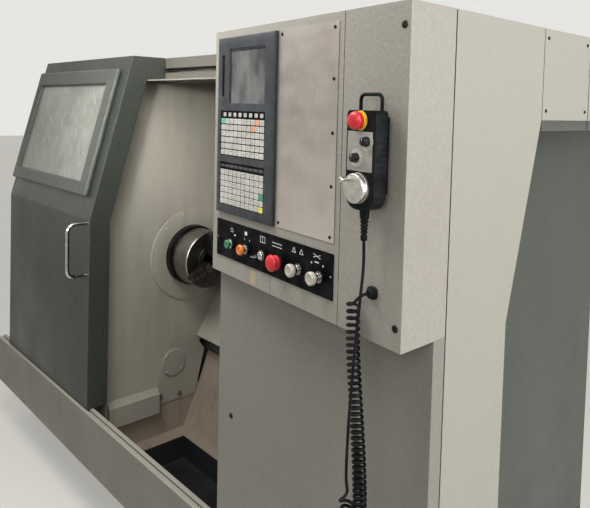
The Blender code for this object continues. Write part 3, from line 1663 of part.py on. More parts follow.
def make_jaw(name, angle):
    where = jaw_frame(angle)
    inner = JAW_INNER
    outer = JAW_INNER + JAW_LENGTH
    first, second = (inner + JAW_LENGTH * share for share in JAW_STEP_SHARES)
    high, middle, low = JAW_HEIGHTS
    outline = [
        (inner, GAP),
        (outer, GAP),
        (outer, low),
        (second, low),
        (second, middle),
        (first, middle),
        (first, high),
        (inner, high),
    ]
    across = where @ frame((0, 0, 0), (1, 0, 0), (0, 0, 1))
    jaw = plate(name, [outline], -JAW_WIDTH / 2, JAW_WIDTH / 2, across, STEEL)
    tongue = block(
        "jaw_tongue",
        (inner, GAP - JAW_SLOT_WIDTH / 2, GAP - JAW_SLOT_DEPTH),
        (outer, JAW_SLOT_WIDTH / 2 - GAP, SINK),
        where,
    )
    join(jaw, tongue)
    return jaw


# Spindle drive: motor on the base, its pulley, and the belt up to the spindle
MOTOR_SETBACK = 0.390
MOTOR_HEIGHT = 0.400
MOTOR_RADIUS = 0.120
MOTOR_LENGTH = 0.400
MOTOR_FOOT_WIDTH = 0.200
MOTOR_PULLEY_RADIUS = 0.070
MOTOR_SHAFT_RADIUS = 0.020
BELT_THICKNESS = 0.008
BELT_CLEARANCE = 0.0006
MOTOR = frame((0, FRONT + MOTOR_SETBACK, MOTOR_HEIGHT), (0, 1, 0), (0, 0, 1))


def make_motor():
    left = PULLEY_RIGHT + OVERRUN
    motor = disc(
        "spindle_motor", MOTOR_RADIUS, left, left + MOTOR_LENGTH, MOTOR, CAST_IRON, ROUND_SIDES // 2
    )
    middle = FRONT + MOTOR_SETBACK
    foot = block(
        "motor_foot",
        (left + OVERRUN, middle - MOTOR_FOOT_WIDTH / 2, BASE_TOP + GAP),
        (left + MOTOR_LENGTH - OVERRUN, middle + MOTOR_FOOT_WIDTH / 2, MOTOR_HEIGHT - MOTOR_RADIUS / 2),
    )
    shaft = disc(
        "motor_shaft", MOTOR_SHAFT_RADIUS, PULLEY_LEFT, left + SINK, MOTOR, STEEL, SMALL_SIDES
    )
    join(motor, foot, shaft)
    return motor


def make_motor_pulley():
    bore = MOTOR_SHAFT_RADIUS + BORE_CLEARANCE
    rim = MOTOR_PULLEY_RADIUS + PULLEY_RIM
    profile = [
        (bore, PULLEY_RIGHT),
        (rim, PULLEY_RIGHT),
        (rim, PULLEY_RIGHT - PULLEY_RIM),
        (MOTOR_PULLEY_RADIUS, PULLEY_RIGHT - PULLEY_RIM),
        (MOTOR_PULLEY_RADIUS, PULLEY_LEFT + PULLEY_RIM),
        (rim, PULLEY_LEFT + PULLEY_RIM),
        (rim, PULLEY_LEFT),
        (bore, PULLEY_LEFT),
    ]
    return turned("motor_pulley", profile, MOTOR, CAST_IRON, ROUND_SIDES // 2, ring=True)


def belt_loop(extra):
    """The outline round both pulleys, this far outside them."""
    upper = Vector((SPINDLE_Y, SPINDLE_HEIGHT))
    lower = Vector((FRONT + MOTOR_SETBACK, MOTOR_HEIGHT))
    big = PULLEY_RADIUS + extra
    small = MOTOR_PULLEY_RADIUS + extra
    line = upper - lower
    lean = math.degrees(math.atan2(line.y, line.x))
    spread = math.degrees(math.acos((big - small) / line.length))
    return [
        *arc(upper.x, upper.y, big, lean - spread, lean + spread, ROUND_SIDES // 2),
        *arc(lower.x, lower.y, small, lean + spread, lean + 360 - spread, ROUND_SIDES // 2),
    ]


def make_belt():
    loops = [belt_loop(BELT_CLEARANCE + BELT_THICKNESS), belt_loop(BELT_CLEARANCE)]
    low = PULLEY_LEFT + PULLEY_RIM + GAP
    high = PULLEY_RIGHT - PULLEY_RIM - GAP
    return plate("drive_belt", loops, low, high, SIDE, RUBBER)


# Saddle with its cover plates, and the covers that telescope under them
SADDLE_LEFT = 0.425
SADDLE_RIGHT = 0.775
SADDLE_TRAVEL = 0.430
SADDLE_LOW = 0.285
SADDLE_HIGH = 0.835
SADDLE_TOP = 0.075
COVER_LENGTH = 0.308
COVER_LAP = 0.060
COVER_PLAY = 0.006
COVER_STEP = 0.0073
COVER_BASE = 0.004
COVER_WIPER = 0.012
APRON_RIGHT = 0.200
APRON_LIP = 0.055


def cover_level(step):
    return COVER_BASE + step * COVER_STEP


def wiper(step, x, where_left):
    """The strip under a cover's outer edge that rides on the cover below."""
    low = cover_level(step) - COVER_STEP + SHEET + GAP
    left = x if where_left else x - COVER_WIPER
    return block(
        "wiper",
        (left, SADDLE_LOW, low),
        (left + COVER_WIPER, SADDLE_HIGH, cover_level(step) + SHEET / 2),
        BED,
    )


def make_left_cover():
    """The fixed cover at the spindle wall, with its apron down over the lower ways."""
    level = cover_level(0)
    left = CHAMBER_LEFT
    outline = [
        (left, 0),
        (APRON_RIGHT, 0),
        (APRON_RIGHT, SADDLE_LOW - GAP),
        (left + COVER_LENGTH, SADDLE_LOW - GAP),
        (left + COVER_LENGTH, SADDLE_HIGH),
        (left, SADDLE_HIGH),
    ]
    cover = plate("left_cover", [outline], level, level + SHEET, BED, CHAMBER_PAINT)
    lip = block("apron_lip", (left, 0, level - APRON_LIP), (APRON_RIGHT, SHEET, level + SINK), BED)
    join(cover, lip)
    return cover


def make_right_cover():
    """The fixed cover at the right, one with the end wall that it is bolted to."""
    right = CHAMBER_RIGHT
    level = cover_level(0)
    return block(
        "right_cover",
        (right - COVER_LENGTH, SADDLE_LOW, level),
        (right + SINK, SADDLE_HIGH, level + SHEET),
        BED,
        CHAMBER_PAINT,
    )


def make_sliding_cover(name, left, wiper_left):
    level = cover_level(1)
    low = (left, SADDLE_LOW, level)
    high = (left + COVER_LENGTH, SADDLE_HIGH, level + SHEET)
    cover = block(name, low, high, BED, CHAMBER_PAINT)
    join(cover, wiper(1, left if wiper_left else left + COVER_LENGTH, wiper_left))
    return cover


def make_saddle():
    base = WAY_TOP + GAP
    saddle = block(
        "saddle",
        (SADDLE_LEFT, SADDLE_LOW, base),
        (SADDLE_RIGHT, SADDLE_HIGH, SADDLE_TOP),
        BED,
        CHAMBER_PAINT,
    )
    level = cover_level(2)
    for start, edge, left_side in (
        (SADDLE_LEFT - COVER_LENGTH, SADDLE_LEFT - COVER_LENGTH, True),
        (SADDLE_RIGHT, SADDLE_RIGHT + COVER_LENGTH, False),
    ):
        low = (start - SINK, SADDLE_LOW, level)
        high = (start + COVER_LENGTH + SINK, SADDLE_HIGH, level + SHEET)
        if left_side:
            low = (start, SADDLE_LOW, level)
        else:
            high = (start + COVER_LENGTH, SADDLE_HIGH, level + SHEET)
        leaf = block("saddle_cover", low, high, BED)
        join(saddle, leaf, wiper(2, edge, left_side))
    return saddle


# Cross slide with the turret housing, and the turret with its tools
SLIDE_LEFT = 0.445
SLIDE_RIGHT = 0.720
SLIDE_LOW = 0.475
SLIDE_HIGH = 0.840
SLIDE_TOP = 0.130
TURRET_RAISE = 0.375
TURRET_TRAVEL = 0.165
TURRET_LEFT = 0.300
TURRET_RIGHT = 0.4197
TURRET_SIDES = 12
TURRET_RADIUS = 0.152
HOUSING_RADIUS = 0.125
HOUSING_RIGHT = 0.690
HUB_RADIUS = 0.055
HUB_HEIGHT = 0.018
TOOL_COUNT = 6
TOOL_BLOCK_WIDTH = 0.052
TOOL_BLOCK_REACH = 0.182
TOOL_BLOCK_INSET = 0.020
TOOL_WIDTH = 0.020
TOOL_REACH = 0.210

TURRET_ON_BED = SPINDLE_ON_BED + Vector((0, TURRET_RAISE, 0))
TURRET = BED @ frame(TURRET_ON_BED, (0, 1, 0), (0, 0, 1))


def make_cross_slide():
    slide = block(
        "cross_slide",
        (SLIDE_LEFT, SLIDE_LOW, SADDLE_TOP + GAP),
        (SLIDE_RIGHT, SLIDE_HIGH, SLIDE_TOP),
        BED,
        CAST_IRON,
    )
    up = TURRET_ON_BED.y
    out = TURRET_ON_BED.z
    outline = [
        (up - HOUSING_RADIUS, SLIDE_TOP - SINK),
        (up + HOUSING_RADIUS, SLIDE_TOP - SINK),
        *arc(up, out, HOUSING_RADIUS, 0, 180, 12),
    ]
    along = BED @ frame((0, 0, 0), (0, 1, 0), (0, 0, 1))
    housing = plate("turret_housing", [outline], TURRET_RIGHT + GAP, HOUSING_RIGHT, along)
    join(slide, housing)
    return slide


def make_turret():
    outline = circle(0, 0, TURRET_RADIUS, TURRET_SIDES, math.pi / TURRET_SIDES)
    turret = plate("turret_disc", [outline], TURRET_LEFT, TURRET_RIGHT, TURRET, STEEL)
    hub = turned(
        "turret_hub",
        [
            (0, TURRET_LEFT + SINK),
            (HUB_RADIUS, TURRET_LEFT + SINK),
            (HUB_RADIUS, TURRET_LEFT - HUB_HEIGHT / 2),
            (HUB_RADIUS - HUB_HEIGHT / 2, TURRET_LEFT - HUB_HEIGHT),
            (0, TURRET_LEFT - HUB_HEIGHT),
        ],
        TURRET,
        STEEL,
        SMALL_SIDES,
    )
    join(turret, hub)
    left = TURRET_LEFT + TOOL_BLOCK_INSET
    right = TURRET_RIGHT - TOOL_BLOCK_INSET
    middle = (left + right) / 2
    flat = TURRET_RADIUS * math.cos(math.pi / TURRET_SIDES)
    for number in range(TOOL_COUNT):
        turn = TURRET @ Matrix.Rotation(math.tau * number / TOOL_COUNT, 4, "Z")
        holder = block(
            "tool_block",
            (flat - SINK, -TOOL_BLOCK_WIDTH / 2, left),
            (TOOL_BLOCK_REACH, TOOL_BLOCK_WIDTH / 2, right),
            turn,
        )
        tool = block(
            "tool",
            (TOOL_BLOCK_REACH - SINK, -TOOL_WIDTH / 2, middle - TOOL_WIDTH / 2),
            (TOOL_REACH, TOOL_WIDTH / 2, middle + TOOL_WIDTH / 2),
            turn,
        )
        join(turret, holder, tool)
    return turret


# Tailstock on the lower ways, with its quill and centre
TAIL_LEFT = 0.800
TAIL_RIGHT = 1.000
TAIL_TRAVEL = 0.150
TAIL_LOW = 0.010
TAIL_FOOT_HIGH = 0.275
TAIL_NECK = 0.100
TAIL_BARREL_RADIUS = 0.072
TAIL_BARREL_LEFT = 0.765
TAIL_BARREL_RIGHT = 1.040
QUILL_RADIUS = 0.035
QUILL_LEFT = 0.735
QUILL_TRAVEL = 0.100
CENTRE_LENGTH = 0.052
CENTRE_RADIUS = 0.018


def make_tailstock():
    up = SPINDLE_ON_BED.y
    out = SPINDLE_ON_BED.z
    seat = WAY_TOP + GAP
    outline = [
        (TAIL_LOW, seat),
        (TAIL_FOOT_HIGH, seat),
        (TAIL_FOOT_HIGH, TAIL_NECK),
        *arc(up, out, TAIL_BARREL_RADIUS, -10, 190, 10),
        (TAIL_LOW + OVERRUN, TAIL_NECK),
        (TAIL_LOW, TAIL_NECK - OVERRUN),
    ]
    along = BED @ frame((0, 0, 0), (0, 1, 0), (0, 0, 1))
    body = plate("tailstock_body", [outline], TAIL_LEFT, TAIL_RIGHT, along, CAST_IRON)
    barrel = disc(
        "barrel", TAIL_BARREL_RADIUS, TAIL_BARREL_LEFT, TAIL_BARREL_RIGHT, SPINDLE, CAST_IRON
    )
    bore = disc(
        "quill_bore",
        QUILL_RADIUS + BORE_CLEARANCE,
        TAIL_BARREL_LEFT - OVERRUN,
        TAIL_BARREL_RIGHT + OVERRUN,
        SPINDLE,
        CAST_IRON,
    )
    join(body, barrel)
    cut(body, bore)
    return body


def make_quill():
    tip = QUILL_LEFT - CENTRE_LENGTH
    cone = tip + CENTRE_RADIUS * math.tan(math.radians(60))
    profile = [
        (0, TAIL_BARREL_RIGHT - OVERRUN),
        (QUILL_RADIUS, TAIL_BARREL_RIGHT - OVERRUN),
        (QUILL_RADIUS, QUILL_LEFT),
        (CENTRE_RADIUS, QUILL_LEFT),
        (CENTRE_RADIUS, cone),
        (0, tip),
    ]
    return turned("tailstock_quill", profile, SPINDLE, STEEL, ROUND_SIDES)


def build():
    make_base()
    make_bed()
    make_headstock()
    make_front_panel()
    make_left_wall()
    make_spindle_wall()
    make_flange()
    make_roof()
    make_rear_wall()
    make_header()
    make_beam()
    make_tray()
    make_side_wall()
    end_wall = make_end_wall()
    make_overhead()
    make_cabinet()
    make_control_box()
    make_bezel()
    make_screen()
    make_keypad("keypad_upper", KEYPADS[0])
    make_keypad("keypad_lower", KEYPADS[1])
    make_face_plate()
    make_switch_plate()
    for number in range(len(SWITCHES)):
        make_switch(number)
    make_pendant()
    make_pendant_stop()
    for name, along, down in DIALS:
        make_dial(name, along, down)
    make_handwheel()
    make_spinner()
    make_gland()
    make_boot()
    make_cord()
    make_door()
    make_window_frame()
    make_pane()
    make_handle()
    make_spindle()
    make_chuck()
    for number, angle in enumerate(JAW_ANGLES):
        make_jaw(f"jaw_{number + 1}", angle)
    make_motor()
    make_motor_pulley()
    make_belt()
    make_left_cover()
    join(end_wall, make_right_cover())
    make_saddle()
    span = CHAMBER_LEFT + COVER_LENGTH - COVER_LAP
    make_sliding_cover("left_sliding_cover", span, True)
    out = SADDLE_RIGHT + COVER_PLAY
    make_sliding_cover("right_sliding_cover", out, False)
    make_cross_slide()
    make_turret()
    make_tailstock()
    make_quill()


build()
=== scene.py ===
# %% [markdown]
# A slant-bed turning lathe, dressed for its portrait.
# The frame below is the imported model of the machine: every panel, shaft and button at its
# real size, in metres, with the floor at height zero and the operator on the minus Y side.
# This file gives those pieces their finishes, and puts finer surfaces over the ones that a
# close look would find too plain. Nothing in it moves or resizes the machine.

# %% Load the frame
import math

import bmesh
import bpy
import numpy as np
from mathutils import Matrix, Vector


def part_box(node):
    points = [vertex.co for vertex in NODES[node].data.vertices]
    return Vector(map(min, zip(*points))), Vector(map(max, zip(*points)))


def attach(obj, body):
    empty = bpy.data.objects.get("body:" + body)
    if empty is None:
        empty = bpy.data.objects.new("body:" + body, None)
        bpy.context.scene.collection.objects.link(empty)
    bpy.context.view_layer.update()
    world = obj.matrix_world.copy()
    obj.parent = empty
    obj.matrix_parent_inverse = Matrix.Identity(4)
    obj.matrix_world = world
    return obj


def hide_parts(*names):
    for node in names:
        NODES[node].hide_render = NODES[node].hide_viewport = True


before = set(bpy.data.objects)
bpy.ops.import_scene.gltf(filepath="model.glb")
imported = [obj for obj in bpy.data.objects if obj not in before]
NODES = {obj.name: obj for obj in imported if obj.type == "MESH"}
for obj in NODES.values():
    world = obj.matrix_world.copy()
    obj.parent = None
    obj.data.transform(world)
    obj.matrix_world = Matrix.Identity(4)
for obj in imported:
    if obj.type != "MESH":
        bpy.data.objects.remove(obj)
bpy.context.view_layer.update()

MM = 0.001

# %% [markdown]
# The control box is turned a little towards the operator, and almost everything worth
# looking at is fixed to its front. So that front gets its own coordinates: a distance along
# it from its left edge, a distance down from its top edge, and a height out of its surface.
# Working in these three numbers keeps the keys, screws and switches on the sheet they are
# screwed to, instead of floating a few millimetres off it.

# %% Places that the pieces share
CONSOLE_TURN = math.radians(6.62)
BOX_LOW, BOX_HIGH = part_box("control_box")
CONSOLE_WIDTH = (BOX_HIGH[0] - BOX_LOW[0]) / math.cos(CONSOLE_TURN)
ALONG = np.array([math.cos(CONSOLE_TURN), -math.sin(CONSOLE_TURN), 0])
OUT = np.array([-math.sin(CONSOLE_TURN), -math.cos(CONSOLE_TURN), 0])
UP = np.array([0.0, 0.0, 1.0])
FACE_CORNER = np.array(
    [BOX_LOW[0], BOX_LOW[1] + CONSOLE_WIDTH * math.sin(CONSOLE_TURN), BOX_HIGH[2]]
)


def matrix(origin, x_axis, y_axis, z_axis):
    """A 4 by 4 place: its columns are the three axes and the origin."""
    made = np.eye(4)
    made[:3] = np.stack([x_axis, y_axis, z_axis, origin], axis=1)
    return made


def on_face(along, down, out=0.0):
    """The place on the control face at these distances, with z pointing out of it."""
    origin = FACE_CORNER + along * ALONG - down * UP + out * OUT
    return matrix(origin, ALONG, UP, OUT)


def moved(points, place):
    """Points times the place's turn, plus its origin, for a whole array at once."""
    return points @ place[:3, :3].T + place[:3, 3]


print("control face", round(CONSOLE_WIDTH, 4), "m wide, corner", FACE_CORNER.round(4))

# %% [markdown]
# The camera stands where the photographer stood: at the machine's front right corner, at a
# tall person's eye height. The lens looks almost level, so upright edges stay nearly
# upright, and most of the downward look comes from shifting the lens, as on a view camera.

# %% Camera
CAMERA_PLACE = (2.0677, -1.6251, 1.7017)
CAMERA_HEADING = 2.4029
CAMERA_PITCH = -0.0545
CAMERA_ROLL = 0.0240
FOCAL_PIXELS = 626.4
FRAME_PIXELS = 590
SENSOR = 36
LENS_SHIFT = -0.19

lens = bpy.data.cameras.new("camera")
lens.sensor_width = SENSOR
lens.lens = FOCAL_PIXELS / FRAME_PIXELS * SENSOR
lens.shift_y = LENS_SHIFT
camera = bpy.data.objects.new("camera", lens)
bpy.context.scene.collection.objects.link(camera)
camera.location = CAMERA_PLACE
camera.rotation_mode = "QUATERNION"
level = math.cos(CAMERA_PITCH)
way = level * math.cos(CAMERA_HEADING), level * math.sin(CAMERA_HEADING), math.sin(CAMERA_PITCH)
turn = Vector(way).to_track_quat("-Z", "Y")
camera.rotation_quaternion = turn @ type(turn)((0, 0, 1), CAMERA_ROLL)
bpy.context.scene.camera = camera
bpy.context.scene.view_settings.view_transform = "Standard"
print("camera lens", round(lens.lens, 2), "mm")

# %% [markdown]
# Every finish is built from nodes, and one small helper adds them all. It makes a node, sets
# its properties, and fills its sockets either with a constant or with another node's output.
# It hands back the output that the next node needs, so a finish reads from top to bottom.
# Colours are picked as hex values, as in any paint program, and one function turns them into
# the linear numbers that light is added up in. Three more helpers are recipes made of those
# nodes: noise patterns laid over a colour, a whole finish of one such pattern, and a skin.

# %% Helpers for finishes
def linear(colour):
    """An sRGB hex colour as linear red, green, blue and an alpha of 1."""
    channels = np.array([int(colour[i : i + 2], 16) for i in (1, 3, 5)]) / 255
    low, high = channels / 12.92, ((channels + 0.055) / 1.055) ** 2.4
    return (*np.where(channels <= 0.04045, low, high).tolist(), 1.0)


def add(tree, kind, sockets=None, out=0, **settings):
    """A new node with its settings, its sockets filled or linked. Returns one output."""
    made = tree.nodes.new("ShaderNode" + kind)
    for name, value in settings.items():
        setattr(made, name, value)
    for name, value in (sockets or {}).items():
        if isinstance(value, bpy.types.NodeSocket):
            tree.links.new(value, made.inputs[name])
        else:
            made.inputs[name].default_value = value
    return made.outputs[out]


def start(name, **sockets):
    """A bare finish: its material, node tree and shader, and the object's coordinates."""
    made = bpy.data.materials.new(name)
    made.use_nodes = True
    tree = made.node_tree
    shader = tree.nodes["Principled BSDF"]
    for socket, value in sockets.items():
        shader.inputs[socket.replace("_", " ")].default_value = value
    return made, tree, shader.inputs, add(tree, "TexCoord", out="Object")

PLAIN = (1, 1, 1)


def layered(tree, place, tone, *layers):
    """Noise patterns over a linear colour. Returns the colour, the noises and the shares.

    A layer is its stretch, its size, its detail, the two noise values between which it comes
    in, its share at most, and its linear colour.
    """
    noises, shares = [], []
    for stretch, size, detail, low, high, most, colour in layers:
        spot = add(tree, "Mapping", {"Vector": place, "Scale": stretch})
        noises.append(add(tree, "TexNoise", {"Vector": spot, "Scale": 1 / size, "Detail": detail}))
        shares.append(add(tree, "MapRange", {0: noises[-1], 1: low, 2: high, 4: most}))
        mixed = {0: shares[-1], 6: tone, 7: colour}
        tone = add(tree, "Mix", mixed, 2, data_type="RGBA")
    return tone, noises, shares


def blended(name, tone, layer, dull=None, **sockets):
    """A finish of one colour under one layer, which can also drive its roughness."""
    made, tree, shader, place = start(name, **sockets)
    tone, _, (share,) = layered(tree, place, tone, layer)
    tree.links.new(tone, shader["Base Color"])
    if dull:
        dull = add(tree, "MapRange", {0: share, 3: dull[0], 4: dull[1]})
        tree.links.new(dull, shader["Roughness"])
    return made, tree, shader, place


def grained(tree, shader, place, size, detail, depth):
    """Gives a finish a skin of bumps of this size and depth."""
    skin = add(tree, "TexNoise", {"Vector": place, "Scale": 1 / size, "Detail": detail})
    tree.links.new(add(tree, "Bump", {"Height": skin, "Distance": depth}), shader["Normal"])


print("grey", [round(c, 3) for c in linear("#96978b")])

# %% [markdown]
# The cabinet is mild steel sheet, folded and sprayed with a two-pack enamel. The gun left a
# hammered skin: shallow dimples a few millimetres apart, drawn up to nine apart on the big
# sheets so that they show from here, which break a highlight into sparkle. Pale specks in
# the colour are painted glints of that sparkle. Years of coolant and gloves add slow changes
# of colour, faint runs down the sheet, and pale bare edges where the folds are rubbed
# through. The rubbed edges come from a Bevel node: on a flat sheet its rounded normal is the
# sheet's own, and near a fold it turns away, so the difference between the two is a mask of
# the folds. Where asked, faces that look upwards are mixed towards the pale colour as well:
# painted light from above.

# %% Sprayed enamel on sheet steel
PATCH, RUN, GLINT_SIZE, CHIP = 280 * MM, 30 * MM, 7 * MM, 12 * MM
RUN_STRETCH = (1, 1, 1 / 12)


def enamel(
    name, colours, gloss=0.42, dimple=4 * MM, depth=0.3 * MM, edge=1.6 * MM, dirt=0.2,
    painted_glints=0.1, top=0, shine=0.5,
):
    """Colours are the paint, the stain in its hollows and the rubbed edge. The pale edge colour
    also paints glints, and light on upward faces.
    """
    paint, stain, lightened = map(linear, colours)
    made, tree, shader, place = start(name, Specular_IOR_Level=shine)
    patches = {"Vector": place, "Scale": 1 / PATCH, "Detail": 4, "Roughness": 0.6}
    patches = add(tree, "TexNoise", patches)
    tall = add(tree, "Mapping", {"Vector": place, "Scale": RUN_STRETCH})
    runs = add(tree, "TexNoise", {"Vector": tall, "Scale": 1 / RUN, "Detail": 4})
    # Pale specks of the edge colour are painted glints of the hammered skin
    glint_noise = add(tree, "TexNoise", {"Vector": place, "Scale": 1 / GLINT_SIZE, "Detail": 1})
    darkened = add(tree, "MapRange", {0: patches, 1: 0.38, 2: 0.72})
    streaked = add(tree, "MapRange", {0: runs, 1: 0.35, 2: 0.75})
    soiled = add(tree, "Math", {0: darkened, 1: streaked}, operation="MULTIPLY")
    soiled = add(tree, "MapRange", {0: soiled, 4: dirt})
    glint_share = add(tree, "MapRange", {0: glint_noise, 1: 0.35, 2: 0.7, 4: painted_glints})
    tone = add(tree, "Mix", {0: soiled, 6: paint, 7: stain}, 2, data_type="RGBA")
    tone = add(tree, "Mix", {0: glint_share, 6: tone, 7: lightened}, 2, data_type="RGBA")
    rounded = add(tree, "Bevel", {"Radius": edge}, samples=4)
    flat = add(tree, "NewGeometry", out="Normal")
    turn = add(tree, "VectorMath", {0: rounded, 1: flat}, "Value", operation="DOT_PRODUCT")
    fold = add(tree, "MapRange", {0: turn, 1: 0.97, 2: 0.75})
    chips = add(tree, "TexNoise", {"Vector": place, "Scale": 1 / CHIP, "Detail": 5})
    chips = add(tree, "MapRange", {0: chips, 1: 0.42, 2: 0.58})
    worn = add(tree, "Math", {0: fold, 1: chips}, operation="MULTIPLY")
    tone = add(tree, "Mix", {0: worn, 6: tone, 7: lightened}, 2, data_type="RGBA")
    # Painted light: faces that look upwards are mixed towards the pale edge colour, as if lit from
    # above
    if top:
        height = add(tree, "SeparateXYZ", {0: flat}, "Z")
        painted_top_light = add(tree, "MapRange", {0: height, 1: 0.6, 2: 0.9, 4: top})
        tone = add(tree, "Mix", {0: painted_top_light, 6: tone, 7: lightened}, 2, data_type="RGBA")
    tree.links.new(tone, shader["Base Color"])
    dull = add(tree, "MapRange", {0: patches, 1: 0.3, 2: 0.7, 3: gloss - 0.06, 4: gloss + 0.12})
    tree.links.new(dull, shader["Roughness"])
    grained(tree, shader, place, dimple, 2, depth)
    return made


# The case, pale in the light, with a fine hammered skin and more painted glints
CASE_ENAMEL = enamel(
    "hammered_enamel_grey", ("#98948a", "#827e74", "#b9b6ac"), 0.34, 9 * MM, 0.8 * MM,
    painted_glints=0.16,
)
PALE_ENAMEL = enamel(
    "hammered_enamel_pale", ("#98968c", "#89867c", "#b5b3a9"), dimple=9 * MM, depth=0.4 * MM
)
# The cabinet below the box takes a darker copy of the case's enamel: painted shade, as less light
# falls low down
CABINET_ENAMEL = enamel(
    "sprayed_enamel_cabinet_painted_shade", ("#7f7c74", "#726f66", "#a8a59c"), dimple=9 * MM, depth=0.5 * MM
)
# The door's dark enamel is glossier, with a slow orange peel, and is rubbed bright by hands
DOOR_ENAMEL = enamel(
    "satin_enamel_door", ("#31352f", "#292c27", "#83857c"), 0.36, 9 * MM, 0.25 * MM, 3 * MM,
    shine=0.35,
)
FRAME_ENAMEL = enamel(
    "satin_enamel_window_frame", ("#484c46", "#3c403b", "#8f9188"), 0.4, 9 * MM, 0.18 * MM,
    3 * MM, shine=0.35,
)
HEADER_ENAMEL = enamel(
    "smoked_enamel_header", ("#625f56", "#55534a", "#8f8d82"), dimple=9 * MM
)
# Inside, coolant keeps the paint shiny and leaves it brown in the corners
CHAMBER_ENAMEL = enamel(
    "semi_gloss_enamel_chamber", ("#9f9b8f", "#857f6e", "#b8b4a8"), 0.32, 12 * MM, 0.2 * MM,
    dirt=0.6,
)
TRAY_ENAMEL = enamel("oily_enamel_tray", ("#96897a", "#655845", "#a59b8c"), 0.35, dirt=0.85)
# The beam's pale edges are wear, and its paler top is painted light from above
BEAM_ENAMEL = enamel(
    "rubbed_enamel_beam_painted_lit_top", ("#757167", "#5f594d", "#b6b2a6"), edge=4 * MM, dirt=0.5, top=0.75
)
print("enamels:", len(bpy.data.materials))

# %% [markdown]
# The castings under the sheets are grey iron, knocked clean, filled and brush painted. The
# paint is thick enough to round every edge and still shows the sand of the mould beneath.

# %% Painted castings
def cast_paint(name, paint, stain):
    layer = (PLAIN, 150 * MM, 4, 0.35, 0.7, 1, linear(stain))
    made, *nodes = blended(name, linear(paint), layer, Roughness=0.5)
    grained(*nodes, 5 * MM, 4, 0.6 * MM)
    return made


CAST_PAINT = cast_paint("brush_painted_iron", "#6b716a", "#50534b")
# The base is painted near black all over, which makes its well black
BASE_PAINT = cast_paint("near_black_iron", "#25272a", "#151617")
MOTOR_PAINT = cast_paint("oily_painted_iron", "#454843", "#2f302b")

# %% [markdown]
# The chuck, jaws and turret are turned steel. A tool that cuts while the work turns leaves
# rings round the axis, finer than a hair; they are drawn here two thirds of a millimetre
# apart so that they show. Coolant and chips leave a brown-black film in patches.

# %% Turned and oiled steel
CHUCK_LOW, CHUCK_HIGH = (np.array(corner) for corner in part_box("chuck_body"))
CHUCK_CENTRE = (CHUCK_LOW + CHUCK_HIGH) / 2
RING_WIDTH = 0.65 * MM


def turned_steel(name, bright, film, gloss):
    """Oiled steel with rings round the spindle's axis, which lies along X."""
    made, tree, shader, place = start(name, Metallic=1.0)
    oil = (PLAIN, 50 * MM, 3, 0.45, 0.75, 0.4, linear(film))
    tone, (blotches,), _ = layered(tree, place, linear(bright), oil)
    tree.links.new(tone, shader["Base Color"])
    dull = {0: blotches, 1: 0.35, 2: 0.7, 3: gloss - 0.04, 4: gloss + 0.08}
    tree.links.new(add(tree, "MapRange", dull), shader["Roughness"])
    middle = (0, -float(CHUCK_CENTRE[1]), -float(CHUCK_CENTRE[2]))
    centred = add(tree, "Mapping", {"Vector": place, "Location": middle})
    rings = {"Vector": centred, "Scale": math.pi / 10 / RING_WIDTH, "Distortion": 0.6}
    rings = add(tree, "TexWave", rings, "Fac", wave_type="RINGS", rings_direction="X")
    grooves = add(tree, "Bump", {"Height": rings, "Distance": 0.03 * MM})
    tree.links.new(grooves, shader["Normal"])
    return made


CHUCK_STEEL = turned_steel("turned_steel_oily", "#9a9791", "#5a5650", 0.30)
FACE_STEEL = turned_steel("turned_steel_darker", "#4a4846", "#262423", 0.36)
JAW_STEEL = turned_steel("hardened_steel_jaw", "#5f5c59", "#33302e", 0.34)
BLACK_STEEL = turned_steel("blued_steel", "#3a3938", "#1d1b1a", 0.38)

# %% [markdown]
# Small hardware is plated. Chromed tube is the brightest thing on the machine; zinc-plated
# screws are duller, and the black ones are only oiled after their oxide bath. Each has the
# same recipe of a colour and a gloss that wander over smudges, at its own scale.

# %% Plated and ground metal
def plated(name, clean, smudged, gloss, smudge=12 * MM, metal=1.0):
    layer = (PLAIN, smudge, 4, 0.35, 0.7, 1, linear(smudged))
    return blended(name, linear(clean), layer, (gloss, gloss + 0.15), Metallic=metal)[0]


CHROME = plated("chromed_steel", "#d0cfcb", "#a9a7a2", 0.10, 10 * MM)
ZINC = plated("zinc_plated_screw", "#a5a299", "#6d6a60", 0.30, 6 * MM)
# Old zinc has a white bloom over the metal, and its pale colour is also a painted highlight, which
# keeps a screw pale in a dark corner
DULL_ZINC = plated("dull_zinc_screw", "#c6c3b9", "#9c998f", 0.4, 6 * MM, 0.45)
BLACK_OXIDE = plated("black_oxide_screw", "#3a3938", "#191817", 0.38, 4 * MM)
GROUND_STEEL = plated("ground_steel_way", "#98958e", "#5f5b54", 0.26, 30 * MM)
WHEEL_METAL = plated("turned_aluminium_handwheel", "#d8d4ce", "#b9b5ae", 0.28)

# %% [markdown]
# The blank plate beside the screen is aluminium, brushed downwards and anodised clear, then
# scratched by years of hands and wiped-off notes. Brush lines are a tenth of a millimetre
# wide and many centimetres long. They are drawn one and a half millimetres wide, or they
# would vanish between pixels.

# %% Brushed and anodised aluminium
WIPED, BRUSHED = (0.5, 0.5, 1), (1, 1, 1 / 30)
ALUMINIUM, tree, shader, place = start("brushed_anodised_aluminium", Metallic=1.0)
tone, (_, haze, brush), _ = layered(
    tree, place, linear("#c5bdb5"),
    (WIPED, 50 * MM, 5, 0.35, 0.7, 1, linear("#aaa19a")),
    (PLAIN, 160 * MM, 4, 0.45, 0.75, 0.6, linear("#a39a93")),
    (BRUSHED, 1.5 * MM, 3, 0.45, 0.72, 0.3, linear("#918882")),
)
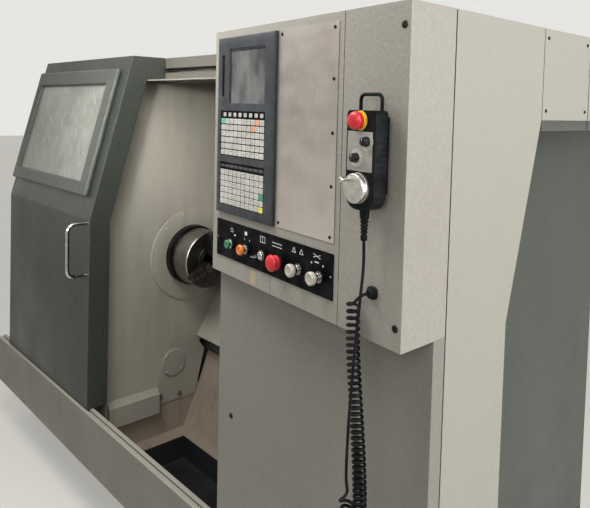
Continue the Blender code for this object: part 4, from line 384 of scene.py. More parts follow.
# Painted light: the lowest quarter metre is made brighter than the rest
height = add(tree, "SeparateXYZ", {"Vector": place}, 2)
lightened = add(tree, "MapRange", {0: height, 1: 1.7, 2: 1.42, 4: 0.75})
tone = add(tree, "Mix", {0: lightened, 6: tone, 7: linear("#dbd2ca")}, 2, data_type="RGBA")
tree.links.new(tone, shader["Base Color"])
dull = {0: haze, 1: 0.3, 2: 0.7, 3: 0.34, 4: 0.52}
tree.links.new(add(tree, "MapRange", dull), shader["Roughness"])
tree.links.new(add(tree, "Bump", {"Height": brush, "Distance": 0.04 * MM}), shader["Normal"])

# %% [markdown]
# Plastics come next. A moulding of ABS carries a fine spark-eroded grain that hands polish
# away in patches, so grease drives both its tone and its gloss. Printed films, the rubbery
# cord sheath and the coloured caps are the same idea with other numbers.

# %% Moulded plastic, printed film and rubber
def paler(colour, gain, lift):
    """A hex colour made linear, times a gain plus a lift, and never past white."""
    return (*(min(1.0, gain * c + lift) for c in linear(colour)[:3]), 1.0)


def moulded(name, colour, gloss=0.45, grain=0.7 * MM, polish=0.12, shine=0.5):
    layer = (PLAIN, 40 * MM, 4, 0.4, 0.7, 1, paler(colour, 1.3, 0.01))
    dull = (gloss + polish / 2, gloss - polish)
    made, *nodes = blended(name, linear(colour), layer, dull, Specular_IOR_Level=shine)
    grained(*nodes, grain, 1, 0.05 * MM)
    return made


BEZEL_ABS = moulded("grey_abs_bezel", "#303337", shine=0.35)
STRIP_ABS = moulded("black_engraved_laminate", "#050609", 0.55, shine=0.05)
PENDANT_ABS = moulded("black_abs_pendant", "#0b0d0f", 0.55, shine=0.1)
DIAL_ABS = moulded("black_phenolic_dial", "#0f1011", 0.35, shine=0.35)
KEY_PALE = moulded("pale_polyester_key", "#bbb9b0", 0.42, 1.5 * MM)
KEY_DARK = moulded("dark_polyester_key", "#3b3c3e", 0.42, 1.5 * MM)
KEY_GREEN = moulded("green_polyester_key", "#4c9a6c", 0.42)
KEY_TEAL = moulded("teal_polyester_key", "#6fb0ac", 0.42)
KEY_YELLOW = moulded("yellow_polyester_key", "#d8cf62", 0.42)
KEY_CORAL = moulded("coral_polyester_key", "#d89a80", 0.42)
PRINT_WHITE = moulded("white_screen_print", "#d8d8d4", 0.5)
PRINT_DARK = moulded("dark_screen_print", "#33343a", 0.5)
SHEATH = moulded("black_pvc_sheath", "#060709", 0.5, 0.9 * MM, shine=0.1)
RED_CAP = moulded("red_polycarbonate_cap", "#c3202a", 0.30, 1.0 * MM, 0.06)
YELLOW_NYLON = moulded("yellow_nylon_ring", "#e3b72c", 0.40)
LEGEND_FILM = moulded("silver_legend_film", "#918e86", 0.38)
PRIMER = moulded("bare_beige_primer", "#b0a184", 0.6)

# %% [markdown]
# The lit push buttons have acrylic caps. Some of the light that enters one comes out again
# at its rim, which is why they look brighter than painted plastic. A little transmission
# under a smooth coat gives that, and keeps the colour.

# %% Tinted acrylic
def acrylic(name, colour, clear=0.2):
    layer = (PLAIN, 4 * MM, 2, 0.4, 0.7, 0.5, paler(colour, 1.6, 0.02))
    clear = {"Transmission_Weight": clear, "Coat_Weight": 0.4, "Coat_Roughness": 0.08}
    return blended(name, linear(colour), layer, Roughness=0.18, IOR=1.49, **clear)[0]


GREEN_CAP = acrylic("green_acrylic_cap", "#0d7a4c")
ORANGE_CAP = acrylic("orange_acrylic_cap", "#f07818")
CLEAR_CAP = acrylic("clear_acrylic_cap", "#cfc8bb", 0.35)

# %% [markdown]
# The screen is a sheet of glass over a dark tube. Paler patches in its colour are painted
# reflections, and there finger grease also makes it duller. The door's window is
# polycarbonate: chips and wiping have turned it milky, with streaks down its slope, so
# hardly anything shows through.

# %% Screen glass and scratched polycarbonate
grease_and_reflection = ((1, 1, 0.55), 50 * MM, 5, 0.38, 0.64, 1, linear("#636562"))
coat = {"Coat_Weight": 0.6, "Coat_Roughness": 0.05}
SCREEN_GLASS = blended(
    "greasy_screen_glass_painted_reflection", linear("#15181b"), grease_and_reflection, (0.08, 0.4), IOR=1.5, **coat
)[0]

WINDOW_SHEET, tree, shader, place = start(
    "scratched_polycarbonate", Transmission_Weight=0.12, IOR=1.58
)
tone, (wiped, _), _ = layered(
    tree, place, linear("#93948a"),
    ((1, 0.29, 0.18), 30 * MM, 3, 0.30, 0.72, 1, linear("#a3a398")),
    (PLAIN, 140 * MM, 3, 0.42, 0.62, 0.75, linear("#83837a")),
)
slanting = add(tree, "Mapping", {"Vector": place, "Rotation": (0, 0.7, 0)})
scratch = ((1, 1, 0.22), 20 * MM, 3, 0.55, 0.75, 0.6, linear("#bdbbb0"))
tree.links.new(layered(tree, slanting, tone, scratch)[0], shader["Base Color"])
dull = {0: wiped, 1: 0.3, 2: 0.7, 3: 0.4, 4: 0.52}
tree.links.new(add(tree, "MapRange", dull), shader["Roughness"])
print("finishes:", len(bpy.data.materials))

# %% [markdown]
# New surfaces are arrays. A shape is a grid of points worked out in one go, and the faces
# are the squares between neighbours, so the same few helpers serve a screw, a key and the
# chuck. Turning a profile round an axis gives the round parts. Stacking one outline at
# several insets and heights gives the flat ones, with any rim or groove that the list says.

# %% Grids, and surfaces made from them
def grid_faces(rows, columns, closed=True):
    """Squares between neighbours of a grid, numbered row by row; closed joins its ends."""
    row, column = np.meshgrid(
        np.arange(rows - 1), np.arange(columns if closed else columns - 1), indexing="ij"
    )
    after = (column + 1) % columns
    corners = (row * columns + column, row * columns + after)
    above = ((row + 1) * columns + after, (row + 1) * columns + column)
    return np.stack([*corners, *above], axis=-1).reshape(-1, 4)


def eased(profile, width, steps=4, closed=False):
    """Rounds each inner corner of a line with a parabola that starts this far from it.

    The parabola is (1-t)^2 a + 2t(1-t) corner + t^2 b, for all corners at once.
    """
    line = np.asarray(profile, float)
    before, after = (np.roll(line, 1, 0), np.roll(line, -1, 0)) if closed else (line[:-2], line[2:])
    corner = line if closed else line[1:-1]
    back, ahead = before - corner, after - corner
    reach_back = np.linalg.norm(back, axis=1, keepdims=True)
    reach_ahead = np.linalg.norm(ahead, axis=1, keepdims=True)
    a = corner + back / reach_back * np.minimum(width, 0.45 * reach_back)
    b = corner + ahead / reach_ahead * np.minimum(width, 0.45 * reach_ahead)
    t = np.linspace(0, 1, steps)[None, :, None]
    curve = (1 - t) ** 2 * a[:, None] + 2 * t * (1 - t) * corner[:, None] + t**2 * b[:, None]
    curve = curve.reshape(-1, line.shape[1])
    return curve if closed else np.concatenate([line[:1], curve, line[-1:]])


def turned(profile, sides=48, place=np.eye(4), joined=False):
    """A (radius, height) line turned round z: x is r cos a, y is r sin a, z is the height.

    A joined line ends where it began, which makes a ring of it.
    """
    line = np.asarray(profile, float)
    line = np.vstack([line, line[:1]]) if joined else line
    radius, height = line.T[:, :, None]
    angle = np.linspace(0, 2 * math.pi, sides, endpoint=False)[None]
    points = [radius * np.cos(angle), radius * np.sin(angle), height + 0 * angle]
    points = np.stack(points, axis=-1).reshape(-1, 3)
    return moved(points, place), grid_faces(len(line), sides)


def lathed(profile, width, sides=48, place=np.eye(4), steps=4):
    """A line in millimetres, its corners eased by this width, turned round z."""
    return turned(eased(np.array(profile, float) * MM, width * MM, steps), sides, place)


def rounded(wide, high, radius, steps=5):
    """A rectangle about its middle with round corners, as a closed line of points."""
    radius = max(min(radius, wide / 2, high / 2), 0.02)
    angle = np.linspace(0, math.pi / 2, steps)[None] + np.arange(4)[:, None] * math.pi / 2
    side = np.array([(1, 1), (-1, 1), (-1, -1), (1, -1)])[:, None]
    middle = side * (np.array([wide, high]) / 2 - radius)
    return (middle + radius * np.stack([np.cos(angle), np.sin(angle)], axis=-1)).reshape(-1, 2)


def raised(wide, high, radius, profile, place=np.eye(4)):
    """A rounded rectangle stacked by a list of (inset, height), from its foot up, in mm."""
    rings = [
        np.column_stack([outline, np.full(len(outline), height)]) * MM
        for inset, height in profile
        for outline in [rounded(wide - 2 * inset, high - 2 * inset, radius - inset)]
    ]
    count = len(rings[0])
    faces = grid_faces(len(rings), count).tolist()
    cap = list(range(count * (len(rings) - 1), count * len(rings)))
    return moved(np.concatenate(rings), place), faces + [cap, list(range(count))[::-1]]


def repeated(shape, places):
    """One shape at many places: its points times every turn, and its faces renumbered."""
    points, faces = shape
    places = np.asarray(places, float)
    turned_points = np.einsum("kij,nj->kni", places[:, :3, :3], points) + places[:, None, :3, 3]
    step = len(points)
    faces = [[corner + step * k for corner in face] for k in range(len(places)) for face in faces]
    return turned_points.reshape(-1, 3), faces


def together(*shapes):
    """Several shapes as one: their points in a row, and each one's faces renumbered."""
    starts = np.cumsum([0] + [len(points) for points, _ in shapes]).tolist()
    numbered = zip(shapes, starts)
    faces = [[c + start for c in face] for (_, some), start in numbered for face in some]
    return np.concatenate([points for points, _ in shapes]), faces


# %% [markdown]
# A shape becomes a piece when it has a mesh, a finish and a body of the machine to ride on.
# Points that meet are welded first, which closes the poles and seams, and then the normals
# are made to point outwards.

# %% Make a piece
MADE = []


def shown(name, mesh, finish, sharp):
    """An object of this mesh, smooth but for edges sharper than this many degrees."""
    mesh.materials.append(finish)
    mesh.shade_smooth()
    mesh.set_sharp_from_angle(angle=math.radians(sharp))
    made = bpy.data.objects.new(name, mesh)
    bpy.context.scene.collection.objects.link(made)
    return made


def hung(made, body, replaces):
    """Hangs an object on its body, hides the imported pieces it stands for, and lists it."""
    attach(made, body)
    if replaces:
        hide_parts(*replaces)
    MADE.append(made)
    return made


def piece(name, body, finish, shape, replaces=(), sharp=35):
    points, faces = shape
    mesh = bpy.data.meshes.new(name)
    mesh.from_pydata(points.tolist(), [], [list(map(int, face)) for face in faces])
    work = bmesh.new()
    work.from_mesh(mesh)
    bmesh.ops.remove_doubles(work, verts=work.verts, dist=0.001 * MM)
    bmesh.ops.dissolve_degenerate(work, edges=work.edges, dist=0.001 * MM)
    bmesh.ops.recalc_face_normals(work, faces=work.faces)
    work.to_mesh(mesh)
    work.free()
    return hung(shown(name, mesh, finish, sharp), body, replaces)


# %% [markdown]
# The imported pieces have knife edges, but folded sheet has a radius and a casting has a
# larger one, and it is the thin highlight along them that makes metal look like metal. So
# each of those pieces is copied, its loose triangles are welded and its flat faces joined,
# and a Bevel modifier rounds what is left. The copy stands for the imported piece.

# %% Copies with softened edges
FOLD_DEGREES = 30


def softened(node, body, finish, slot, width=1.4 * MM, segments=2):
    mesh = NODES[node].data.copy()
    work = bmesh.new()
    work.from_mesh(mesh)
    bmesh.ops.remove_doubles(work, verts=work.verts, dist=0.01 * MM)
    flat = math.radians(1)
    bmesh.ops.dissolve_limit(work, angle_limit=flat, verts=work.verts, edges=work.edges)
    work.to_mesh(mesh)
    work.free()
    mesh.materials.clear()
    made = shown("soft_" + node, mesh, finish, FOLD_DEGREES)
    step = made.modifiers.new("rounded edges", "BEVEL")
    step.width = width
    step.segments = segments
    step.limit_method = "ANGLE"
    step.angle_limit = math.radians(FOLD_DEGREES)
    step.harden_normals = True
    step.miter_outer = "MITER_ARC"
    return hung(made, body, [node])


for finish, slot, *nodes in (
    (CABINET_ENAMEL, "warm_grey_enamel", "front_panel", "lower_cabinet"),
    (CASE_ENAMEL, "warm_grey_enamel", "left_end_wall", "roof_panel", "rear_wall", "control_box"),
    (HEADER_ENAMEL, "warm_grey_enamel", "door_header"),
    (BEAM_ENAMEL, "warm_grey_enamel", "front_beam"),
    # The wall in the recess on the right takes the dark window-frame enamel: painted shade in the
    # recess
    (FRAME_ENAMEL, "green_grey_enamel", "right_end_wall"),
    (CHAMBER_ENAMEL, "chamber_enamel", "spindle_wall", "left_cover"),
    (TRAY_ENAMEL, "beige_enamel", "chip_tray"),
):
    for node in nodes:
        softened(node, "machine", finish, slot)
# The side wall lies a hair behind the control box, and the lids of the overhead box more
SIDE_SET_IN, LID_SET_IN = 0.5 * MM, 2.6 * MM
for node, set_in in (("right_side_wall", SIDE_SET_IN), ("overhead_box", LID_SET_IN)):
    sheet = softened(node, "machine", PALE_ENAMEL, "pale_grey_enamel").data
    spots = np.empty(3 * len(sheet.vertices))
    sheet.vertices.foreach_get("co", spots)
    spots[0::3] = np.minimum(spots[0::3], spots[0::3].max() - set_in)
    sheet.vertices.foreach_set("co", spots)
# What shows of the overhead box below its lids takes the dark enamel: painted shade under the lids
sheet.materials.append(FRAME_ENAMEL)
for face in sheet.polygons:
    if face.normal.x > 0.9 and face.center.x < spots[0::3].max() - 0.2 * MM:
        face.material_index = 1
for node, body, finish, slot, *edge in (
    ("door_shell", "door", DOOR_ENAMEL, "green_grey_enamel"),
    ("window_frame", "door", FRAME_ENAMEL, "green_grey_enamel", 3 * MM, 3),
    ("pendant_housing", "machine", PENDANT_ABS, "black_plastic", 1 * MM, 3),
    ("base_frame", "machine", BASE_PAINT, "painted_cast_iron", 5 * MM),
    ("slant_bed", "machine", CAST_PAINT, "painted_cast_iron", 5 * MM),
    ("headstock", "machine", CAST_PAINT, "painted_cast_iron", 5 * MM),
    ("spindle_motor", "machine", MOTOR_PAINT, "painted_cast_iron", 3 * MM),
    ("left_sliding_cover", "left_sliding_cover", CHAMBER_ENAMEL, "chamber_enamel"),
    ("right_sliding_cover", "right_sliding_cover", CHAMBER_ENAMEL, "chamber_enamel"),
    ("saddle", "saddle", CHAMBER_ENAMEL, "chamber_enamel", 2 * MM),
    ("cross_slide", "cross_slide", CHAMBER_ENAMEL, "chamber_enamel", 3 * MM),
    ("turret_disc", "turret", CHUCK_STEEL, "turned_steel", 2 * MM),
    ("tailstock_body", "tailstock", CAST_PAINT, "painted_cast_iron", 4 * MM),
):
    softened(node, body, finish, slot, *edge)
print("softened pieces:", len(MADE))

# %% [markdown]
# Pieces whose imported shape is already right, such as the glass or the belt, keep it, and
# only get their finish.

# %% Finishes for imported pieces
PACKED = {
    "display_screen": SCREEN_GLASS, "face_plate": ALUMINIUM, "switch_plate": STRIP_ABS,
    "window_pane": WINDOW_SHEET, "door_handle": CHROME, "spindle_shaft": BLACK_STEEL,
    "tailstock_quill": GROUND_STEEL, "motor_pulley": MOTOR_PAINT, "drive_belt": SHEATH,
}
for node, finish in PACKED.items():
    mesh = NODES[node].data
    for slot in range(len(mesh.materials)):
        mesh.materials[slot] = finish
print("finished in place:", len(PACKED))

# %% [markdown]
# The hand pendant hangs on one cord with two lives. From its gland on the cabinet it is a
# curly cord, a six millimetre sheath wound tightly when it was hot, that hangs down, turns
# and comes back up. From the end of the winding it runs straight up to the pendant's boot.
# The routes below are the winding's axis and the plain run, in metres along, down and out
# of the control face.

# %% The cord's routes
COIL_ROUTE = [
    (0.6125, 0.5740, 0.0220), (0.6115, 0.5950, 0.0205), (0.6115, 0.6200, 0.0200),
    (0.6135, 0.6600, 0.0200), (0.6180, 0.7050, 0.0200), (0.6240, 0.7500, 0.0200),
    (0.6300, 0.7970, 0.0200), (0.6360, 0.8430, 0.0200), (0.6410, 0.8880, 0.0200),
    (0.6440, 0.9250, 0.0200), (0.6460, 0.9600, 0.0200), (0.6480, 1.0000, 0.0200),
    (0.6505, 1.0400, 0.0200), (0.6510, 1.0750, 0.0200), (0.6465, 1.1030, 0.0200),
    (0.6365, 1.1190, 0.0200), (0.6265, 1.1240, 0.0200), (0.6165, 1.1190, 0.0200),
    (0.6065, 1.1030, 0.0200), (0.6030, 1.0750, 0.0200), (0.6050, 1.0400, 0.0200),
    (0.6085, 1.0050, 0.0200), (0.6110, 0.9780, 0.0205),
]
TAIL_ROUTE = [
    (0.6425, 0.9200, 0.0500), (0.6410, 0.9000, 0.0520), (0.6400, 0.8660, 0.0515),
    (0.6405, 0.8200, 0.0505), (0.6420, 0.7780, 0.0500), (0.6455, 0.7360, 0.0505),
    (0.6505, 0.6900, 0.0515), (0.6570, 0.6330, 0.0530), (0.6635, 0.5800, 0.0540),
    (0.6645, 0.5350, 0.0500), (0.6580, 0.4950, 0.0400), (0.6500, 0.4650, 0.0325),
    (0.6470, 0.4423, 0.0310),
]


def smooth_line(route, per_span=10):
    """A Catmull-Rom curve: between two points, the cubic that their neighbours steer."""
    points = np.array(route) @ np.column_stack([ALONG, -UP, OUT]).T + FACE_CORNER
    points = np.vstack([2 * points[0] - points[1], points, 2 * points[-1] - points[-2]])
    a, b, c, d = (points[i : len(points) - 3 + i, None] for i in range(4))
    t = np.linspace(0, 1, per_span, endpoint=False)[None, :, None]
    line = 2 * b + (c - a) * t + (2 * a - 5 * b + 4 * c - d) * t**2
    line = (line + (3 * b - a - 3 * c + d) * t**3) / 2
    return np.vstack([line.reshape(-1, 3), points[-2]])


def bridge(start, leaving, end, arriving, steps=24):
    """A Hermite cubic: two places, and the ways through them, weighted by cubics of t."""
    t = np.linspace(0, 1, steps)[:, None]
    line = (2 * t**3 - 3 * t**2 + 1) * start + (t**3 - 2 * t**2 + t) * leaving
    return line + (3 * t**2 - 2 * t**3) * end + (t**3 - t**2) * arriving


def along_line(line):
    """The distance travelled at each point of a line."""
    return np.concatenate([[0], np.cumsum(np.linalg.norm(np.diff(line, axis=0), axis=1))])


# %% [markdown]
# The winding is a circle carried along its axis. It needs two directions square to the axis
# at each point; both follow from a fixed one, out of the control face, so the turns never
# twist against each other. The cord's own weight pulls the upper turns further apart. It
# begins where a turn runs past the gland and ends where a turn points out of the face, so
# the plain cord can leave it along the turn's own direction, as a real one does.

# %% Wind the cord
CORD_DIAMETER = 6 * MM
WINDING_RADIUS = 11.3 * MM
WINDING_PITCH = 11.4 * MM
PULLED_APART, PULLED_REACH = 0.35, 0.12
TURN_POINTS = 16
SMOOTHINGS = 120

axis = smooth_line(COIL_ROUTE, 40)
travel = along_line(axis)
turns = round(travel[-1] / WINDING_PITCH + 0.25) - 0.25
distance = np.linspace(0, travel[-1], int(turns * TURN_POINTS))
line = np.stack([np.interp(distance, travel, axis[:, i]) for i in range(3)], axis=1)
for _ in range(SMOOTHINGS):
    line[1:-1] = (line[:-2] + 2 * line[1:-1] + line[2:]) / 4
ahead = np.gradient(line, distance, axis=0)
ahead /= np.linalg.norm(ahead, axis=1, keepdims=True)
side = np.cross(OUT + 0 * line, ahead)
side /= np.linalg.norm(side, axis=1, keepdims=True)
front = np.cross(ahead, side)
rate = 1 / (1 + PULLED_APART * np.exp(-distance / PULLED_REACH))
turned_so_far = np.cumsum(rate) - rate[0]
angle = math.pi / 2 + 2 * math.pi * turns * turned_so_far / turned_so_far[-1]
round_axis = np.cos(angle)[:, None] * side + np.sin(angle)[:, None] * front
wound = line + WINDING_RADIUS * round_axis

# %% Join the winding to the gland and to the plain run
GLAND_ALONG, GLAND_DOWN, MOUTH_OUT = 0.645, 0.548, 14.3 * MM
first_way, last_way = wound[1] - wound[0], wound[-1] - wound[-2]
first_way, last_way = (way / np.linalg.norm(way) for way in (first_way, last_way))
mouth = on_face(GLAND_ALONG, GLAND_DOWN, MOUTH_OUT)[:3, 3]
run_in = bridge(mouth + 6 * MM * OUT, 62 * MM * OUT, wound[0], 56 * MM * first_way)
tail = smooth_line(TAIL_ROUTE)
tail_way = (tail[1] - tail[0]) / np.linalg.norm(tail[1] - tail[0])
run_out = bridge(wound[-1], 75 * MM * last_way, tail[0], 60 * MM * tail_way)
cord_line = np.vstack([mouth, run_in[:-1], wound, run_out[1:-1], tail])

cord_curve = bpy.data.curves.new("pendant_cord", "CURVE")
cord_curve.dimensions = "3D"
cord_curve.bevel_depth = CORD_DIAMETER / 2
cord_curve.bevel_resolution = 3
cord_curve.use_fill_caps = True
spline = cord_curve.splines.new("POLY")
spline.points.add(len(cord_line) - 1)
spline.points.foreach_set("co", np.column_stack([cord_line, np.ones(len(cord_line))]).ravel())
spline.use_smooth = True
cord_curve.materials.append(SHEATH)
pendant_cord = bpy.data.objects.new("pendant_cord", cord_curve)
bpy.context.scene.collection.objects.link(pendant_cord)
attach(pendant_cord, "machine")
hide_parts("cord_coil", "cord_tail")

# %% [markdown]
# At one end the cord enters a gland, a threaded bush with a hexagonal nut and a domed
# rubber seal. At the other it leaves the pendant through a boot: a tapered rubber sleeve
# with deep rings, which lets the cord bend gently instead of kinking at the housing.

# %% Gland and boot
GLAND = on_face(GLAND_ALONG, GLAND_DOWN)
gland_nut = raised(24, 24, 8, [(0, 0.3), (0, 6.5), (1.2, 7.5)], GLAND)
gland_dome = [(9.5, 7), (9.5, 11.5), (6.5, 14.2), (3.2, 14.2), (3.2, 12), (0, 12)]
gland = together(gland_nut, lathed(gland_dome, 1.2, 32, GLAND))
gland = piece("gland", "machine", PENDANT_ABS, gland, ["cord_gland"])

BOOT_ALONG, BOOT_TOP, BOOT_OUT, BOOT_LENGTH = 0.647, 0.3853, 31 * MM, 58 * MM
BOOT_RADIUS, BOOT_TAPER, BOOT_RINGS = 9.8, 3.6, 5
RINGS_FROM, RINGS_OVER = 0.27, 0.59
BOOT = matrix(on_face(BOOT_ALONG, BOOT_TOP, BOOT_OUT)[:3, 3], ALONG, OUT, -UP)
share = np.linspace(0, 1, 97)
ringed = (share > RINGS_FROM) & (share < RINGS_FROM + RINGS_OVER)
waves = np.cos((share - RINGS_FROM) / RINGS_OVER * BOOT_RINGS * 2 * math.pi)
radius = (BOOT_RADIUS - BOOT_TAPER * share - np.where(ringed, 1 - waves, 0)) * MM
profile = np.column_stack([radius, share * BOOT_LENGTH])
profile = turned(np.vstack([[(0, 0)], profile, [(0, BOOT_LENGTH)]]), 32, BOOT)
boot = piece("boot", "machine", SHEATH, profile, ["cord_boot"], 50)

# %% [markdown]
# The keypads are sheets of embossed polyester over little domes. Each key is a low pillow
# with rounded corners, about a millimetre high, on a dark printed ground. All the keys of
# one colour are a single piece: one pillow is worked out, then repeated at every place by
# one array product. Short dashes stand for what is printed on them.

# %% Keypads
PAD_FACE = 8.6 * MM
UPPER_PAD = (0.049, 0.265, 0.210, 0.328)
LOWER_PAD = (0.049, 0.265, 0.344, 0.457)


def pad_sheet(name, area, node):
    left, right, top, bottom = area
    place = on_face((left + right) / 2, (top + bottom) / 2, 6.3 * MM)
    size = ((right - left) / MM - 0.6, (bottom - top) / MM - 0.6, 2)
    sheet = raised(*size, [(0, 0), (0, 1.6), (0.4, 2)], place)
    return piece(name, "machine", STRIP_ABS, sheet, [node])


pad_sheet("upper_key_sheet", UPPER_PAD, "keypad_upper")
pad_sheet("lower_key_sheet", LOWER_PAD, "keypad_lower")


def key_places(area, rows, columns, first_row=0.0):
    """Middles of a grid of keys inside an area, row by row, as (along, down)."""
    left, right, top, bottom = area
    across = left + (right - left) * (np.arange(columns) + 0.5) / columns
    down = top + first_row + (bottom - top - first_row) * (np.arange(rows) + 0.5) / rows
    return np.stack(np.meshgrid(across, down), axis=-1).reshape(-1, 2)


def keys(name, finish, size, centres, height=1.1):
    pillow = raised(*size, 1.6, [(0, -0.4), (0, height * 0.5), (0.5, height)])
    places = [on_face(along, down, PAD_FACE - 0.3 * MM) for along, down in centres]
    return piece(name, "machine", finish, repeated(pillow, places))


ROWS, COLUMNS = 6, 10
upper = key_places((0.052, 0.262, 0.229, 0.326), ROWS, COLUMNS)
lower = key_places((0.052, 0.262, 0.363, 0.455), ROWS, COLUMNS)
softkeys = key_places((0.058, 0.262, 0.2125, 0.2275), 1, 8)
legends = key_places((0.052, 0.262, 0.348, 0.360), 1, 9)
KEY_SIZE, SOFTKEY_SIZE, LEGEND_SIZE = (18.6, 13.6), (13, 10), (20, 7)
tint = {
    "teal": ([0], [], KEY_TEAL),
    "coral": ([8, 17], [], KEY_CORAL),
    "green": ([], [39], KEY_GREEN),
    "yellow": ([], [59], KEY_YELLOW),
}
plain_upper, plain_lower = np.ones(len(upper), bool), np.ones(len(lower), bool)
for name, (high, low, finish) in tint.items():
    plain_upper[high] = plain_lower[low] = False
    keys("keys_" + name, finish, KEY_SIZE, np.vstack([upper[high], lower[low]]))
keys("keys_pale", KEY_PALE, KEY_SIZE, np.vstack([upper[plain_upper], lower[plain_lower]]))
keys("keys_soft", KEY_PALE, SOFTKEY_SIZE, softkeys)
keys("keys_legend_row", KEY_DARK, LEGEND_SIZE, legends, 0.6)

# Each key is printed with one or two short dashes, shifted a little
random = np.random.default_rng(7)
marked = np.vstack([upper, lower, softkeys])
shift = random.uniform(-1, 1, (len(marked), 2)) * (3.0 * MM, 1.6 * MM)
dash = raised(1, 1, 0.1, [(0, 0), (0, 1)])
lengths = random.choice([2.4, 4.2, 7.0], len(marked))
places = []
for (along, down), (dx, dy), length in zip(marked, shift, lengths):
    for offset in (-2.2 * MM, 2.4 * MM)[: 1 + (length < 5)]:
        place = on_face(along + dx, down + dy * 0.4 + offset, PAD_FACE + 0.72 * MM)
        place[:3, :3] = place[:3, :3] @ np.diag([length, 1.5, 0.16])
        places.append(place)
piece("key_marks", "machine", PRINT_DARK, repeated(dash, places))
print("keys:", len(marked), "marks:", len(places))

# %% [markdown]
# Fasteners are small, but the eye counts them: a plate with no screws looks glued on. All
# are one button-headed screw with a socket, which is drawn round, turned once and repeated.
# The black ones hold the aluminium plate and the lids, the zinc ones the rest.

# %% Screws
def screws(name, finish, size, places):
    """A button head with a socket, as a turned line from its middle outwards, repeated."""
    radius, height = size
    line = [(0, 0.35), (0.38, 0.35), (0.42, 0.98), (0.70, 0.90), (0.95, 0.45), (1.0, 0.0)]
    line = np.vstack([np.array(line) * size, [(radius, -0.6)]])
    head = lathed(line, 0.25, 16, steps=3)
    piece(name, "machine", finish, repeated(head, places))


plate_screws = [(0.510, t) for t in (0.031, 0.137, 0.249, 0.360, 0.466)]
plate_screws += [(0.319, t) for t in (0.031, 0.466)]
places = [on_face(s, t, 2.0 * MM) for s, t in plate_screws]
screws("plate_screws", BLACK_OXIDE, (4, 2), places)
places = [on_face(s, 0.548, 3.0 * MM) for s in (0.035, 0.518)]
screws("strip_screws", ZINC, (2.4, 1.2), places)

SPINDLE_SETBACK, SPINDLE_HEIGHT = 0.542, CHUCK_CENTRE[2]
MACHINE_FRONT = CHUCK_CENTRE[1] - SPINDLE_SETBACK


def on_east(x, setback, height):
    """A place on a sheet that faces right, by its distance back from the machine's front."""
    return matrix((x, MACHINE_FRONT + setback, height), *np.eye(3)[[1, 2, 0]])


def circled(x, setback, height, radius, degrees):
    """Places on such a sheet, round a circle: setback + r cos a and height + r sin a."""
    turns = np.radians(degrees)
    return [
        on_east(x, setback + radius * math.cos(a), height + radius * math.sin(a)) for a in turns
    ]


# The wall's box reaches out to its ledge, so the sheet itself lies further in
LEDGE_OUT = 25 * MM
WALL_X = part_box("spindle_wall")[1][0] - LEDGE_OUT
RIGHT_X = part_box("overhead_box")[1][0] - LID_SET_IN
places = [on_east(WALL_X, 0.320, z) for z in (1.743, 1.661, 1.488, 1.318, 1.150, 0.976)]
screws("sheet_screws", DULL_ZINC, (4.5, 2.4), places)
# The lids of the overhead box lie side by side, from this setback on
LIDS_START, LID_WIDTH = 0.3613, 254 * MM
places = [
    on_east(RIGHT_X, LIDS_START + lid * LID_WIDTH + inset, z)
    for lid in range(3) for inset in (0.022, 0.234) for z in (1.708, 1.878)
]
screws("lid_screws", BLACK_OXIDE, (4.5, 2.4), places)
print("wall", WALL_X, "right", RIGHT_X)

# %% [markdown]
# The round cover low on the spindle wall closes the hole for the coolant pipes, and the
# ring round the spindle keeps chips out of the headstock. Both are plain turned plates
# with soft edges, and with their screws on a circle.

# %% Round cover and spindle ring
COVER = (0.457, 0.523)
cover = lathed([(0, 4), (60, 4), (63, 2), (63, -1)], 1.5, 64, on_east(WALL_X, *COVER))
piece("round_cover", "machine", CHAMBER_ENAMEL, cover)
FLANGE_LOW, FLANGE_HIGH = (np.array(corner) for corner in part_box("spindle_flange"))
flange_radius = (FLANGE_HIGH[2] - FLANGE_LOW[2]) / 2
flange_line = [(0.112, 0), (0.112, 5 * MM), (flange_radius, 5 * MM), (flange_radius, 0)]
spindle_place = on_east(FLANGE_LOW[0], SPINDLE_SETBACK, SPINDLE_HEIGHT)
ring = turned(eased(flange_line, 1.5 * MM), 96, spindle_place, joined=True)
piece("spindle_ring", "machine", CHAMBER_ENAMEL, ring, ["spindle_flange"])
places = circled(WALL_X + 4 * MM, *COVER, 0.053, (45, 135, 225, 315))
places += circled(
    FLANGE_HIGH[0], SPINDLE_SETBACK, SPINDLE_HEIGHT, 0.192, np.arange(15, 375, 30)
)
screws("cover_screws", DULL_ZINC, (5, 2.6), places)

# %% [markdown]
# The bezel round the screen and keypads is one moulding with soft-edged pockets. It is a
# height over the control face: full thickness everywhere, less a pocket's depth inside each
# rectangle, with a smooth step at the rectangle's edge. The grid's lines crowd together at
# those edges, so the steps stay crisp without a fine mesh everywhere.

# %% Bezel
BEZEL = (0.032, 0.302, 0.0215, 0.478)
BEZEL_TOP, POCKET_DEPTH = 10 * MM, 4 * MM
SCREEN_AREA = (0.092, 0.261, 0.051, 0.191)
SLOT_AREA = (0.052, 0.067, 0.066, 0.175)
POCKETS = [(area, POCKET_DEPTH) for area in (SCREEN_AREA, UPPER_PAD, LOWER_PAD, SLOT_AREA)]


def inside(x, y, area, soft, corner=0.0):
    """How far inside a rectangle a point lies, 0 to 1 over the soft edge, smoothly."""
    left, right, top, bottom = area
    across = np.abs(x - (left + right) / 2) - (right - left) / 2 + corner
    down = np.abs(y - (top + bottom) / 2) - (bottom - top) / 2 + corner
    out = np.hypot(np.maximum(across, 0), np.maximum(down, 0))
    out += np.minimum(np.maximum(across, down), 0)
    share = np.clip((corner - out) / soft, 0, 1)
    return share * share * (3 - 2 * share)


